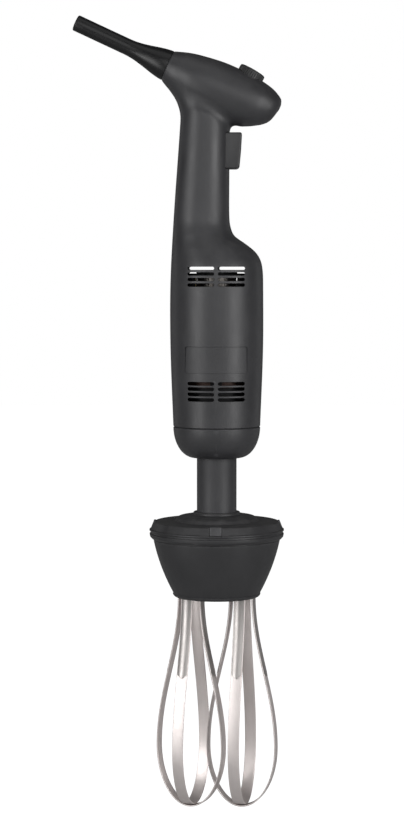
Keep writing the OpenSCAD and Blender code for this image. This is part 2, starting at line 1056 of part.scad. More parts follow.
module whisk_loop_b_left() {
    color([0.78, 0.77, 0.75])
        whisk_loop(-spindle_x, left_turn + 90, loop_step);
}

module whisk_hub_right() {
    color([0.6, 0.6, 0.62])
        whisk_hub(spindle_x, right_turn);
}

module whisk_loop_a_right() {
    color([0.78, 0.77, 0.75])
        whisk_loop(spindle_x, right_turn, 0);
}

module whisk_loop_b_right() {
    color([0.78, 0.77, 0.75])
        whisk_loop(spindle_x, right_turn + 90, loop_step);
}

// ---------- cord entry and electrics ----------

module cord_boot() {
    flare = 27;
    color([0.03, 0.03, 0.03])
        on_head()
            rotate([0, -90, 0])
                rotate_extrude()
                    polygon([
                        [cord_r, -wall - 1.9],
                        [boot_seat_r - 4.3, -wall - 1.9],
                        [boot_seat_r - 4.3, 0],
                        [boot_seat_r - 0.1, 0],
                        [boot_seat_r - 0.4, 0.8],
                        [boot_r + 0.6 * (boot_seat_r - boot_r), 0.4 * flare],
                        [boot_r + 0.25 * (boot_seat_r - boot_r), 0.75 * flare],
                        [boot_r + 0.4, flare + 1],
                        [boot_r, flare + 12],
                        [boot_r, boot_len - 0.8],
                        [boot_r - 0.8, boot_len],
                        [cord_r, boot_len]
                    ]);
}

module cord_clamp() {
    color([0.5, 0.5, 0.5])
        on_head()
            difference() {
                block([wall + 2.6, -8, -8], [wall + 9, 8, 8]);
                rotate([0, 90, 0])
                    rod(cord_r + 0.2, -1, 20);
            }
}

module terminal_block() {
    color([0.85, 0.84, 0.78])
        on_head()
            difference() {
                block([wall + 14, -8, -6], [wall + 26, 8, 4]);
                for (y = [-4, 4])
                    translate([wall + 20, y, 0])
                        rod(2, 0, 5);
            }
}

module speed_board() {
    color([0.15, 0.4, 0.22])
        on_dial()
            block([-13, -12, -dial_h - 19], [13, 12, -dial_h - 17.4]);
}

module potentiometer() {
    color([0.35, 0.35, 0.38])
        on_dial()
            difference() {
                union() {
                    rod(9, -dial_h - 17.4 + touch, -dial_h - 9);
                    rod(5, -dial_h - 9.5, -dial_h - 3);
                }
                rod(3 + running, -dial_h - 9, -dial_h - 2);
            }
}

module dial_shaft() {
    color([0.75, 0.75, 0.75])
        on_dial()
            rod(3, -dial_h - 8.6, -3.5);
}

module speed_dial() {
    ribs = 30;
    color([0.05, 0.05, 0.05])
        on_dial()
            difference() {
                rotate_extrude()
                    polygon([
                        [0, -dial_h],
                        [dial_r, -dial_h],
                        [dial_r, -1.6],
                        [dial_r - 0.5, -0.8],
                        [dial_r - 1.6, -0.35],
                        [0, 0]
                    ]);
                rod(3 + touch, -dial_h - 1, -3.5 + touch);
                for (k = [0:ribs - 1])
                    rotate([0, 0, 360 * k / ribs])
                        block([dial_r - 0.5, -0.5, -dial_h - 1], [dial_r + 1, 0.5, -1.5]);
            }
}

module switch_body() {
    color([0.12, 0.12, 0.13])
        difference() {
            block([-24, -9, trigger_z - 14], [trigger_back - 6, 9, trigger_z + 14]);
            translate([trigger_back - 6, 0, trigger_z])
                rotate([0, -90, 0])
                    rod(3 + running, -1, trigger_travel + 6);
        }
}

module switch_plunger() {
    color([0.7, 0.1, 0.08])
        translate([0, 0, trigger_z])
            rotate([0, 90, 0])
                rod(3, trigger_back - 11, trigger_back);
}

module trigger_spring() {
    color([0.7, 0.7, 0.7])
        translate([trigger_back - 6 + 0.05, 0, trigger_z])
            rotate([0, 90, 0])
                coil_spring(4.6, 0.35, 4, 5.9);
}

module trigger() {
    lean = 2.4;
    round_r = 3;
    color([0.16, 0.16, 0.17])
        translate([0, 0, trigger_z])
            rotate([90, 0, 0]) {
                linear_extrude(height = 2 * trigger_half, center = true)
                    hull() {
                        translate([trigger_back, -trigger_h / 2])
                            square([1, trigger_h]);
                        translate([trigger_out - lean - round_r, -trigger_h / 2 + round_r])
                            circle(r = round_r);
                        translate([trigger_out - 1.2, trigger_h / 2 - 1.2])
                            circle(r = 1.2);
                    }
                linear_extrude(height = 11, center = true)
                    translate([trigger_back, -trigger_h / 2 - 3])
                        square([2, trigger_h + 6]);
            }
}

module power_wires() {
    color([0.7, 0.15, 0.1]) {
        for (y = [-5, 5])
            wire_run(
                [
                    [-16, trigger_z - 14.1], [-17, trigger_z - 24], [-22, 225],
                    [-23, 200], [-22, shoulder_z + 36], [-27, shoulder_z + 26],
                    [-31, shoulder_z + 16], [-31, shoulder_z + 9.5]
                ],
                y, 1.3
            );
        for (y = [-4, 4])
            wire_run(
                [
                    [-12, trigger_z + 14.1], [-12, trigger_z + 26], [-9, trigger_z + 44],
                    [-14, trigger_z + 52]
                ],
                y, 1.3
            );
    }
}

// ---------- motor ----------

module motor_bracket_upper() {
    z = bracket_up_z;
    color([0.2, 0.2, 0.21])
        difference() {
            union() {
                rod(commutator_r + 0.6, z, z + bearing_h);
                for (a = [45:90:315])
                    rotate([0, 0, a]) {
                        block([15, -3, z], [32, 3, z + 2.6]);
                        block([28, -3, stator_z + stator_h], [32, 3, z + 1]);
                    }
                for (a = [0, 180])
                    rotate([0, 0, a])
                        block([15, -4, z], [31, 4, z + 2.6]);
            }
            rod(bearing_r, z - 1, z + bearing_h + 1);
            for (k = [0:bars - 1])
                rotate([0, 0, 360 * (k + 0.5) / bars])
                    block([commutator_r - 1, -0.7, z + 2.6], [commutator_r + 2, 0.7, z + 9]);
        }
}

module motor_bracket_lower() {
    z = bracket_low_z;
    color([0.2, 0.2, 0.21])
        difference() {
            union() {
                rod(coupling_r + 14.4, z, z + bracket_low_h);
                difference() {
                    pipe(coupling_r + 14.4, fan_r + 1, z, stator_z - coil_h - 0.3);
                    for (a = [0, 180])
                        sector(far, 1, z + bracket_low_h + 3, stator_z, a, 28);
                }
                for (a = [90, 270])
                    rotate([0, 0, a]) {
                        block([24, -5, z], [32, 5, z + 3]);
                        block([28, -5, z], [32, 5, stator_z]);
                    }
            }
            rod(bearing_r, z - 1, z + bracket_low_h + 1);
            for (a = [0:45:315])
                rotate([0, 0, a + 22.5])
                    translate([19, 0, 0])
                        rod(4, z - 1, z + bracket_low_h + 1);
        }
}

module motor_bearings() {
    color([0.66, 0.66, 0.68])
        for (z = [bracket_up_z, bracket_low_z])
            difference() {
                pipe(bearing_r - touch, shaft_r + running, z, z + bearing_h);
                pipe(bearing_r - 2, shaft_r + 2, z + bearing_h - 0.6, z + bearing_h + 1);
            }
}

module stator_core() {
    color([0.5, 0.5, 0.52])
        difference() {
            pipe(stator_r, armature_r + 0.8, stator_z, stator_z + stator_h);
            for (a = [30, 150, 210, 330])
                sector(coil_r + 0.1, 21, stator_z - 1, stator_z + stator_h + 1, a, 24);
        }
}

module field_coils() {
    color([0.65, 0.32, 0.12])
        for (side = [90, 270]) {
            for (z = [stator_z - coil_h, stator_z + stator_h + touch])
                sector(coil_r, 21.1, z, z + coil_h - touch, side, 140);
            for (a = [side - 60, side + 60])
                sector(coil_r - 0.5, 21.6, stator_z - 1, stator_z + stator_h + 1, a, 18);
        }
}

module brush_holders() {
    color([0.75, 0.62, 0.3])
        for (a = [0, 180])
            rotate([0, 0, a])
                difference() {
                    block(
                        [commutator_r + 1, -brush_half - 1.4, brush_z - brush_half - 1.4],
                        [32, brush_half + 1.4, bracket_up_z]
                    );
                    block(
                        [commutator_r - 1, -brush_half - 0.05, brush_z - brush_half - 0.05],
                        [30.6, brush_half + 0.05, brush_z + brush_half + 0.05]
                    );
                }
}

module carbon_brushes() {
    color([0.08, 0.08, 0.08])
        for (a = [0, 180])
            rotate([0, 0, a])
                difference() {
                    block(
                        [commutator_r - 1, -brush_half, brush_z - brush_half],
                        [25, brush_half, brush_z + brush_half]
                    );
                    rod(commutator_r + running, 0, far);
                }
}

module brush_springs() {
    color([0.7, 0.7, 0.7])
        for (a = [0, 180])
            rotate([0, 0, a])
                translate([25.02, 0, brush_z])
                    rotate([0, 90, 0])
                        coil_spring(2.2, 0.3, 4, 5.5);
}

module armature_shaft() {
    color([0.75, 0.75, 0.77])
        rod(shaft_r, jaw_z + jaw_h, shaft_top);
}

module armature_core() {
    slots = 12;
    color([0.5, 0.5, 0.52])
        difference() {
            pipe(armature_r, shaft_r + touch, stator_z + 2, stator_z + stator_h - 2);
            for (k = [0:slots - 1])
                rotate([0, 0, 360 * k / slots])
                    block([armature_r - 7, -1, 0], [armature_r + 1, 1, far]);
        }
}

module armature_windings() {
    low = stator_z + 2;
    high = stator_z + stator_h - 2;
    color([0.65, 0.32, 0.12])
        for (side = [0, 1])
            mirror([0, 0, side])
                translate([0, 0, side == 0 ? high : -low])
                    rotate_extrude()
                        polygon([
                            [shaft_r + touch, touch],
                            [armature_r - 1.5, touch],
                            [armature_r - 2.5, 5.5],
                            [armature_r - 6, 8.5],
                            [shaft_r + touch, 9]
                        ]);
}

module commutator() {
    color([0.72, 0.42, 0.2])
        difference() {
            pipe(commutator_r, shaft_r + touch, commutator_z, bracket_up_z - 0.4);
            for (k = [0:bars - 1])
                rotate([0, 0, 360 * (k + 0.5) / bars])
                    block([commutator_r - 0.8, -0.45, 0], [commutator_r + 1, 0.45, far]);
        }
}

module cooling_fan() {
    blades = 14;
    color([0.1, 0.1, 0.1])
        difference() {
            union() {
                rod(9, fan_z, fan_z + fan_h);
                rod(fan_r, fan_z, fan_z + 1.6);
                for (k = [0:blades - 1])
                    rotate([0, 0, 360 * k / blades])
                        translate([8, 0, 0])
                            rotate([0, 0, 25])
                                block([0, -0.6, fan_z + 1], [14, 0.6, fan_z + fan_h - 1]);
            }
            rod(shaft_r + touch, 0, far);
        }
}

// One half of the jaw coupling: its disc, and jaws from one height to another
module coupling_half(disc_z, jaws_low, jaws_high, turn) {
    difference() {
        union() {
            rod(coupling_r, disc_z, disc_z + disc_h);
            for (a = [0, 120, 240])
                sector(coupling_r - 0.6, 5, jaws_low, jaws_high, a + turn, jaw_angle);
        }
        rod(shaft_r + touch, disc_z - 1, disc_z + disc_h + 1);
    }
}

module motor_coupling() {
    color([0.3, 0.3, 0.32])
        coupling_half(jaw_z + jaw_h, jaw_z, jaw_z + jaw_h + 1, 0);
}

module shaft_coupling() {
    color([0.3, 0.3, 0.32])
        coupling_half(jaw_z - disc_h, jaw_z - 1, jaw_z + jaw_h, 60);
}

module coupling_spider() {
    color([0.75, 0.2, 0.15]) {
        rod(4.8, jaw_z + 0.1, jaw_z + jaw_h - 0.1);
        for (k = [0:5])
            sector(
                coupling_r - 0.8, 4, jaw_z + 0.1, jaw_z + jaw_h - 0.1,
                60 * k + 30, 60 - jaw_angle - 1
            );
    }
}

module drive_shaft() {
    color([0.75, 0.75, 0.77])
        rod(shaft_r, first_z - 0.5, jaw_z);
}

module drive_pinion() {
    color([0.45, 0.45, 0.47])
        difference() {
            gear(pinion_n, first_m, 0, first_z - 0.4, gear_w + 0.8);
            rod(shaft_r + touch, -far, 0);
        }
}

housing_left();
housing_right();
housing_screws();
label_plate();
nose_cap();
stem_tube();
stem_screws();
stem_bushings();
shaft_seal();
gearbox_cover();
cover_clips();
gearbox_gasket();
gearbox_body();
gearbox_dowels();
spindle_bushings();
spindle_seals();
idler_pin();
cord_boot();
cord_clamp();
terminal_block();
speed_board();
potentiometer();
switch_body();
power_wires();
motor_bracket_upper();
motor_bracket_lower();
stator_core();
field_coils();
motor_bearings();
brush_holders();
carbon_brushes();
brush_springs();
armature_shaft();
armature_core();
armature_windings();
commutator();
cooling_fan();
motor_coupling();
coupling_spider();
shaft_coupling();
drive_shaft();
drive_pinion();
idler_gear();
spindle_left();
spindle_gear_left();
spindle_right();
spindle_gear_right();
whisk_hub_left();
whisk_loop_a_left();
whisk_loop_b_left();
whisk_fingers_left();
whisk_hub_right();
whisk_loop_a_right();
whisk_loop_b_right();
whisk_fingers_right();
trigger();
switch_plunger();
trigger_spring();
speed_dial();
dial_shaft();
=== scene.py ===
import json
from math import cos, hypot, pi, radians, sin, sqrt, tan

import bmesh
import bpy
import numpy as np
from mathutils import Matrix, Vector


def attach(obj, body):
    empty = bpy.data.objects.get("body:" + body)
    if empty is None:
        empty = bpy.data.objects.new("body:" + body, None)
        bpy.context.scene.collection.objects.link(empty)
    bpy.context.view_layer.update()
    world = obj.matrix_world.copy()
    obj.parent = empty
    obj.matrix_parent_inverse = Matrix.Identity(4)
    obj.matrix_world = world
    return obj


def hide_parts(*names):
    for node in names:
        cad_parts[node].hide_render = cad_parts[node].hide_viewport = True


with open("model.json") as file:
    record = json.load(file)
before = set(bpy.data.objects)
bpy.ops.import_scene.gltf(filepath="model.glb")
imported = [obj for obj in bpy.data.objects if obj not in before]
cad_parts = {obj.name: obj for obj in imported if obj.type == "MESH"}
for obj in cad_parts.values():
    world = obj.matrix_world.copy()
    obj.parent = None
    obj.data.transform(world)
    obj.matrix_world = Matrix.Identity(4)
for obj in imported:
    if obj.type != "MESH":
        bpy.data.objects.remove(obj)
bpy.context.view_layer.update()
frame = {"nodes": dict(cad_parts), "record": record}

# ---------------------------------------------------------------- sizes, in metres
MM = 0.001
BODY_R = 40.0 * MM
NOSE_R = 37.6 * MM
NOSE_H = 27.0 * MM
SHOULDER_Z = 150.0 * MM
WALL = 2.6 * MM
GRIP_FRONT = 10.7 * MM
GRIP_BACK = 37.2 * MM
GRIP_BACK_TOP = 30.4 * MM
GRIP_HALF = 19.6 * MM

HEAD_LEN = 102.0 * MM
HEAD_TOP = 23.3 * MM
HEAD_BELLY = 22.5 * MM
HEAD_HALF = 23.5 * MM
HEAD_TILT = radians(25)
HEAD_AT = Vector((-41.8 * MM, 0, 336.5 * MM))
GRIP_CUT = 16.0 * MM       # the grip column ends this far below the head's axis
SOFT_FRONT = 9.0 * MM      # how far the blend between grip and head reaches at the front,
SOFT_BACK = 18.0 * MM      # at the back
SOFT_SIDE = 6.0 * MM       # and at the sides
SOFT_END = 12.0 * MM       # the same for the rounding of the grip column's end

BOOT_LEN = 87.4 * MM
BOOT_R = 7.0 * MM
BOOT_SEAT_R = 13.5 * MM
CORD_R = 4.0 * MM

DIAL_R = 11.6 * MM
DIAL_H = 9.0 * MM
DIAL_AT = Vector((31.4 * MM, 0, 333.2 * MM))
DIAL_TILT = radians(29.7)

TRIGGER_HALF = 10.0 * MM
TRIGGER_H = 31.0 * MM
TRIGGER_Z = 263.9 * MM
TRIGGER_OUT = 21.6 * MM
TRIGGER_BACK = 4.0 * MM

SLOT_START = 1.6 * MM
SLOT_LEN = 22.8 * MM
UPPER_ROW = SHOULDER_Z + 13.4 * MM
UPPER_PITCH = 4.7 * MM
UPPER_H = 2.7 * MM
LOWER_ROW = 65.5 * MM
LOWER_PITCH = 4.55 * MM
LOWER_H = 3.0 * MM
LABEL_Z = 85.5 * MM
LABEL_W = 53.2 * MM
LABEL_H = 23.8 * MM
LABEL_DEPTH = 0.8 * MM
LABEL_GAP = 0.75 * MM      # groove all round the plate

STEM_R = 17.2 * MM
STEM_LEN = 47.0 * MM
COVER_Z = -STEM_LEN
RIM_R = 58.4 * MM
PARTING_Z = COVER_Z - 23.3 * MM
BOX_TOP = PARTING_Z - 0.7 * MM
BOX_BOTTOM = COVER_Z - 74 * MM
LIP_R = RIM_R - 3.4 * MM
FLOOR_R = 38.2 * MM
POCKET_R = 12.8 * MM
POCKET_H = 12.0 * MM
CLIP_R = LIP_R - 2.1 * MM
BOX_WALL = 3.6 * MM

SPINDLE_X = 22.25 * MM
HUB_TOP = BOX_BOTTOM + 10.8 * MM
HUB_H = 12.6 * MM
HUB_HALF = 9.2 * MM
WHISK_R = 31.0 * MM
WHISK_LEN = 196.0 * MM
FINGER_LEN = 80.0 * MM
PULL_OUT = 20.0 * MM       # how far a whisk slides down off its spindle
STRIP_W = 10.2 * MM
STRIP_T = 1.2 * MM
LEFT_TURN = radians(-21)
RIGHT_TURN = radians(-14)
LOOP_RISE = 0.267 * WHISK_LEN * (1 - sqrt(1 - (STRIP_W / 2 / WHISK_R) ** 2))
LOOP_STEP = STRIP_T + LOOP_RISE + 0.2 * MM

SEAT_Y = 7.0 * MM          # where the case screws' heads sit
BOSS_R = 4.0 * MM
BOSSES = [
    (-31 * MM, NOSE_H + 9 * MM), (31 * MM, NOSE_H + 9 * MM),
    (-29 * MM, SHOULDER_Z + 37 * MM), (26 * MM, SHOULDER_Z + 26 * MM),
    (-12 * MM, 212 * MM), (-18 * MM, 298 * MM),
    (HEAD_AT.x + 90 * MM * cos(HEAD_TILT), HEAD_AT.z - 90 * MM * sin(HEAD_TILT)),
]


# ---------------------------------------------------------------- camera
def make_camera():
    """Eye level with the upper vents, looking slightly down, one degree from the right."""
    far = 1.9
    cam = bpy.data.cameras.new("camera")
    cam.sensor_fit = "VERTICAL"
    cam.sensor_height = 24.0
    cam.lens = 63.3
    cam.clip_end = 30.0
    at = bpy.data.objects.new("camera", cam)
    at.location = (far * sin(radians(1.0)), -far * cos(radians(1.0)), 0.1635)
    at.rotation_euler = (radians(90 - 3.87), 0, radians(1.385))
    bpy.context.collection.objects.link(at)
    bpy.context.scene.camera = at


make_camera()


# ---------------------------------------------------------------- curves
def curve(table, v):
    """A smooth value through (station, value) pairs, for a number or an array."""
    at, value = np.array(table).T
    last = len(at) - 1

    def rise(a, b):
        return (value[b] - value[a]) / (at[b] - at[a])

    i = np.clip(np.searchsorted(at, v, side="right") - 1, 0, last - 1)
    h = at[i + 1] - at[i]
    u = np.clip((v - at[i]) / h, 0.0, 1.0)
    s = 3 * u * u - 2 * u ** 3
    before = rise(np.maximum(0, i - 1), i + 1)
    after = rise(i, np.minimum(last, i + 2))
    bend = u * (1 - u) * h * ((1 - u) * before - u * after)
    return (1 - s) * value[i] + s * value[i + 1] + bend


def from_shoulder(*pairs):
    """Stations given in mm above the shoulder."""
    return [(SHOULDER_Z + a * MM, v) for a, v in pairs]


FRONT = [(NOSE_H, NOSE_R), (94 * MM, BODY_R)] + from_shoulder(
    (0, BODY_R), (12, BODY_R - 0.5 * MM), (20, BODY_R - 2.2 * MM), (27, BODY_R - 6.4 * MM),
    (34, (BODY_R + GRIP_FRONT) / 2), (41, GRIP_FRONT + 4.8 * MM), (48, GRIP_FRONT + 1.4 * MM),
    (56, GRIP_FRONT + 0.2 * MM), (80, GRIP_FRONT), (180, GRIP_FRONT + 0.6 * MM),
)
BACK = [(NOSE_H, NOSE_R), (94 * MM, BODY_R)] + from_shoulder(
    (0, BODY_R), (56, GRIP_BACK), (155, GRIP_BACK_TOP), (180, GRIP_BACK_TOP),
)
HALF = [(NOSE_H, NOSE_R), (94 * MM, BODY_R)] + from_shoulder(
    (0, BODY_R), (15, BODY_R - 1.6 * MM), (28, BODY_R - 7 * MM),
    (40, (BODY_R + GRIP_HALF) / 2 - 4 * MM), (54, GRIP_HALF + 1 * MM), (80, GRIP_HALF),
    (180, GRIP_HALF + 0.6 * MM),
)


def along_head(*pairs):
    """Stations given as shares of the head's length."""
    return [(a * HEAD_LEN, v) for a, v in pairs]


HEAD_UP = along_head(
    (0, BOOT_SEAT_R), (0.125, 0.55 * BOOT_SEAT_R + 0.45 * HEAD_TOP), (0.25, HEAD_TOP - 2.7 * MM),
    (0.43, HEAD_TOP - 0.3 * MM), (0.6, HEAD_TOP), (0.72, HEAD_TOP - 0.5 * MM),
    (0.81, HEAD_TOP - 1.7 * MM), (0.89, HEAD_TOP - 3.6 * MM), (0.945, HEAD_TOP - 6.1 * MM),
    (0.985, HEAD_TOP - 9 * MM), (1, HEAD_TOP - 13 * MM),
)
HEAD_DOWN = along_head(
    (0, BOOT_SEAT_R), (0.05, BOOT_SEAT_R + 2.4 * MM), (0.165, HEAD_BELLY - 3.1 * MM),
    (0.25, HEAD_BELLY - 1 * MM), (0.5, HEAD_BELLY), (0.75, HEAD_BELLY - 1.5 * MM),
    (0.82, HEAD_BELLY - 4.5 * MM), (0.877, HEAD_BELLY - 7.9 * MM),
    (0.935, HEAD_BELLY - 12.2 * MM), (0.975, HEAD_BELLY - 17.9 * MM),
    (1, HEAD_BELLY - 28 * MM),
)
HEAD_SIDE = along_head(
    (0, BOOT_SEAT_R), (0.1, BOOT_SEAT_R + 3.6 * MM), (0.24, HEAD_HALF - 2 * MM),
    (0.43, HEAD_HALF), (0.67, HEAD_HALF - 0.5 * MM), (0.82, HEAD_HALF - 3 * MM),
    (0.915, HEAD_HALF - 7.5 * MM), (0.965, HEAD_HALF - 11.5 * MM),
    (0.99, HEAD_HALF - 15.5 * MM), (1, HEAD_HALF - 20 * MM),
)


def tilted(at, angle):
    """A frame at a point, turned about Y."""
    return Matrix.Translation(at) @ Matrix.Rotation(angle, 4, "Y")


ON_HEAD = tilted(HEAD_AT, HEAD_TILT)
ON_DIAL = tilted(DIAL_AT, DIAL_TILT)
ON_BOOT = ON_HEAD @ Matrix.Rotation(-pi / 2, 4, "Y")


# ---------------------------------------------------------------- mesh helpers
def even_angles(count):
    return [2 * pi * k / count for k in range(count)]


def put(bm, name, matrix=None):
    """Turns a bmesh into an object in the row frame."""
    if matrix is not None:
        bmesh.ops.transform(bm, matrix=matrix, verts=bm.verts)
    bmesh.ops.recalc_face_normals(bm, faces=bm.faces)
    mesh = bpy.data.meshes.new(name)
    bm.to_mesh(mesh)
    bm.free()
    piece = bpy.data.objects.new(name, mesh)
    bpy.context.collection.objects.link(piece)
    return piece


def smooth(piece, angle):
    """Smooth shading that keeps edges sharper than an angle crisp."""
    bm = bmesh.new()
    bm.from_mesh(piece.data)
    limit = radians(angle)
    for f in bm.faces:
        f.smooth = True
    for e in bm.edges:
        e.smooth = len(e.link_faces) == 2 and e.calc_face_angle(0.0) < limit
    bm.to_mesh(piece.data)
    bm.free()
    return piece


def skin(bm, rings, caps=True, closed=False):
    """Joins rings of points, each in the same order, into a tube in bm."""
    made = [[bm.verts.new(p) for p in ring] for ring in rings]
    n = len(made[0])
    pairs = list(zip(made, made[1:]))
    if closed:
        pairs.append((made[-1], made[0]))
    for a, b in pairs:
        for i in range(n):
            j = (i + 1) % n
            bm.faces.new((a[i], a[j], b[j], b[i]))
    if caps and not closed:
        bm.faces.new(made[0][::-1])
        bm.faces.new(made[-1])
    return made


def lathe(name, profile, matrix=None, steps=128):
    """Turns a closed (radius, height) outline about Z."""
    bm = bmesh.new()
    rings = [
        [Vector((r * cos(a), r * sin(a), z)) for r, z in profile]
        for a in even_angles(steps)
    ]
    skin(bm, rings, caps=False, closed=True)
    bmesh.ops.remove_doubles(bm, verts=bm.verts, dist=1e-7)
    return put(bm, name, matrix)


def rounded(outline, closed=True, steps=4):
    """Rounds an outline of (x, y, radius) corners into (x, y) points."""
    out = []
    n = len(outline)
    for k, (x, y, r) in enumerate(outline):
        here = Vector((x, y))
        if r <= 0 or (not closed and k in (0, n - 1)):
            out.append((x, y))
            continue
        back = Vector(outline[k - 1][:2]) - here
        ahead = Vector(outline[(k + 1) % n][:2]) - here
        half = back.angle(ahead) / 2
        reach = min(r / tan(half), 0.49 * back.length, 0.49 * ahead.length)
        r = reach * tan(half)
        a = here + back.normalized() * reach
        b = here + ahead.normalized() * reach
        centre = here + (back.normalized() + ahead.normalized()).normalized() * (r / sin(half))
        for i in range(steps + 1):
            p = a.lerp(b, i / steps) - centre
            out.append(tuple(centre + p.normalized() * r))
    return out


def apply_modifiers(piece):
    """Makes what a piece's modifiers show its own mesh."""
    deps = bpy.context.evaluated_depsgraph_get()
    mesh = bpy.data.meshes.new_from_object(piece.evaluated_get(deps))
    piece.modifiers.clear()
    old = piece.data
    piece.data = mesh
    bpy.data.meshes.remove(old)


def join_shapes(target, tool, operation):
    """A boolean that leaves its result in target and deletes tool."""
    step = target.modifiers.new("cut", "BOOLEAN")
    step.operation = operation
    step.object = tool
    step.solver = "MANIFOLD"
    apply_modifiers(target)
    bpy.data.objects.remove(tool)
    return target


def gather(pieces):
    """One object from several that don't touch each other."""
    bm = bmesh.new()
    for piece in pieces:
        bm.from_mesh(piece.data)
        bpy.data.objects.remove(piece)
    return put(bm, "tools")


def box_shape(name, low, high):
    """A box between two corners."""
    bm = bmesh.new()
    bmesh.ops.create_cube(bm, size=1.0)
    size = Vector(high) - Vector(low)
    middle = (Vector(high) + Vector(low)) / 2
    scale = Matrix.Diagonal((*size, 1.0))
    return put(bm, name, Matrix.Translation(middle) @ scale)


def rod_shape(name, r, z0, z1, matrix, steps):
    """A cylinder between two heights."""
    bm = bmesh.new()
    rings = [
        [Vector((r * cos(a), r * sin(a), z)) for a in even_angles(steps)]
        for z in (z0, z1)
    ]
    skin(bm, rings)
    return put(bm, name, matrix)


def bevel(piece, width, segments):
    """Rounds every edge sharper than 30 degrees."""
    bm = bmesh.new()
    bm.from_mesh(piece.data)
    limit = radians(30)
    sharp = [e for e in bm.edges if len(e.link_faces) == 2 and e.calc_face_angle(0) > limit]
    bmesh.ops.bevel(
        bm, geom=sharp, offset=width, segments=segments, profile=0.5,
        affect="EDGES", clamp_overlap=True,
    )
    bm.to_mesh(piece.data)
    bm.free()
    return piece


# ---------------------------------------------------------------- case
CASE_TOP = SHOULDER_Z + 180 * MM
SPARE = 6 * MM          # how far the forms run past their ends before they are cut
PARTING = 0.32 * MM     # width of the groove where the case halves meet
PARTING_DEEP = 0.4 * MM
SEAM_Z = NOSE_H + 0.25 * MM


def column_section(z, inset=0.0):
    """Centre and half sizes of the body and grip at a height."""
    front = curve(FRONT, z) - inset
    back = curve(BACK, z) - inset
    return (front - back) / 2, (front + back) / 2, curve(HALF, z) - inset


def head_section(t, inset=0.0):
    """Centre and half sizes of the head at a distance along its axis."""
    top = curve(HEAD_UP, t) - inset
    belly = curve(HEAD_DOWN, t) - inset
    return (top - belly) / 2, (top + belly) / 2, curve(HEAD_SIDE, t) - inset


def column(name, inset, z0, rings, count):
    """Body and grip as one solid, moved inwards by inset."""
    bm = bmesh.new()
    stack = []
    for k in range(rings + 1):
        z = z0 + (CASE_TOP - z0) * k / rings
        x, rx, ry = column_section(z, inset)
        stack.append([Vector((x + rx * cos(a), ry * sin(a), z)) for a in even_angles(count)])
    skin(bm, stack)
    return put(bm, name)


def head(name, inset, start, rings, count):
    """The head as a solid, moved inwards by inset."""
    bm = bmesh.new()
    stack = []
    for k in range(rings + 1):
        t = start + (HEAD_LEN - inset - start) * sin(pi / 2 * k / rings)
        z, rz, ry = head_section(t, inset)
        stack.append([Vector((t, ry * sin(a), z + rz * cos(a))) for a in even_angles(count)])
    skin(bm, stack)
    return put(bm, name, ON_HEAD)


def below_head(cut):
    """A block under the plane where the grip column ends."""
    far = 0.5
    piece = box_shape("below", (-far, -far, -far), (far, far, -cut))
    piece.data.transform(ON_HEAD)
    return piece


def oval_distance(u, v, ru, rv):
    """Roughly how far points are outside an oval."""
    size = np.maximum(1e-9, np.hypot(u / ru, v / rv))
    return (size - 1) / np.maximum(1e-9, np.hypot(u / ru ** 2, v / rv ** 2) / size)


def case_distance(p):
    """How far points are outside the soft union of grip and head."""
    x, y, z = p[:, 0], p[:, 1], p[:, 2]
    xc, rx, ry = column_section(z)
    grip = oval_distance(x - xc, y, rx, ry)
    c, s = cos(HEAD_TILT), sin(HEAD_TILT)
    along = c * (x - HEAD_AT.x) - s * (z - HEAD_AT.z)
    up = s * (x - HEAD_AT.x) + c * (z - HEAD_AT.z)
    zc, rz, ry = head_section(along)
    cap = oval_distance(up - zc, y, rz, ry)
    top = up + GRIP_CUT
    round_off = np.maximum(0.0, SOFT_END - np.abs(grip - top)) / SOFT_END
    grip = np.maximum(grip, top) + round_off ** 2 * SOFT_END / 4
    side = np.clip(np.abs(y) / GRIP_HALF, 0, 1) ** 2
    back = np.clip((GRIP_FRONT - x) / (GRIP_FRONT + GRIP_BACK), 0, 1)
    reach = (SOFT_FRONT + (SOFT_BACK - SOFT_FRONT) * back) * (1 - side) + SOFT_SIDE * side
    near = np.maximum(0.0, reach - np.abs(grip - cap)) / reach
    fixed = (along < -SPARE / 2) | (along > 0.9 * HEAD_LEN) | (z < NOSE_H - SPARE / 2)
    return np.minimum(grip, cap) - near ** 2 * reach / 4, ~fixed


def settle(piece):
    """Moves the case's skin on to the soft union, so that it has no facets."""
    mesh = piece.data
    co = np.empty(len(mesh.vertices) * 3)
    mesh.vertices.foreach_get("co", co)
    co = co.reshape(-1, 3)
    tiny = 0.02 * MM
    for _ in range(5):
        gap, free = case_distance(co)
        slope = np.stack(
            [(case_distance(co + shift)[0] - gap) / tiny for shift in np.eye(3) * tiny], axis=1
        )
        step = -slope * (gap / np.maximum(0.2, (slope ** 2).sum(axis=1)))[:, None]
        length = np.maximum(1e-12, np.linalg.norm(step, axis=1))
        step *= np.minimum(1.0, 1.0 * MM / length)[:, None]
        co[free] += step[free]
    mesh.vertices.foreach_set("co", co.ravel())
    mesh.update()


def case_skin():
    """The outside of grip and head as one smooth closed form."""
    outer = column("outer", 0.0, NOSE_H - SPARE, 150, 96)
    outer = join_shapes(outer, below_head(GRIP_CUT), "INTERSECT")
    outer = join_shapes(outer, head("cap", 0.0, -SPARE, 90, 96), "UNION")
    step = outer.modifiers.new("even", "REMESH")
    step.mode = "VOXEL"
    step.voxel_size = 1.1 * MM
    apply_modifiers(outer)
    settle(outer)
    return outer


def shrunk(piece, depth):
    """A copy with its skin moved inwards."""
    bm = bmesh.new()
    bm.from_mesh(piece.data)
    bm.normal_update()
    for v in bm.verts:
        v.co -= v.normal * depth
    return put(bm, "core")


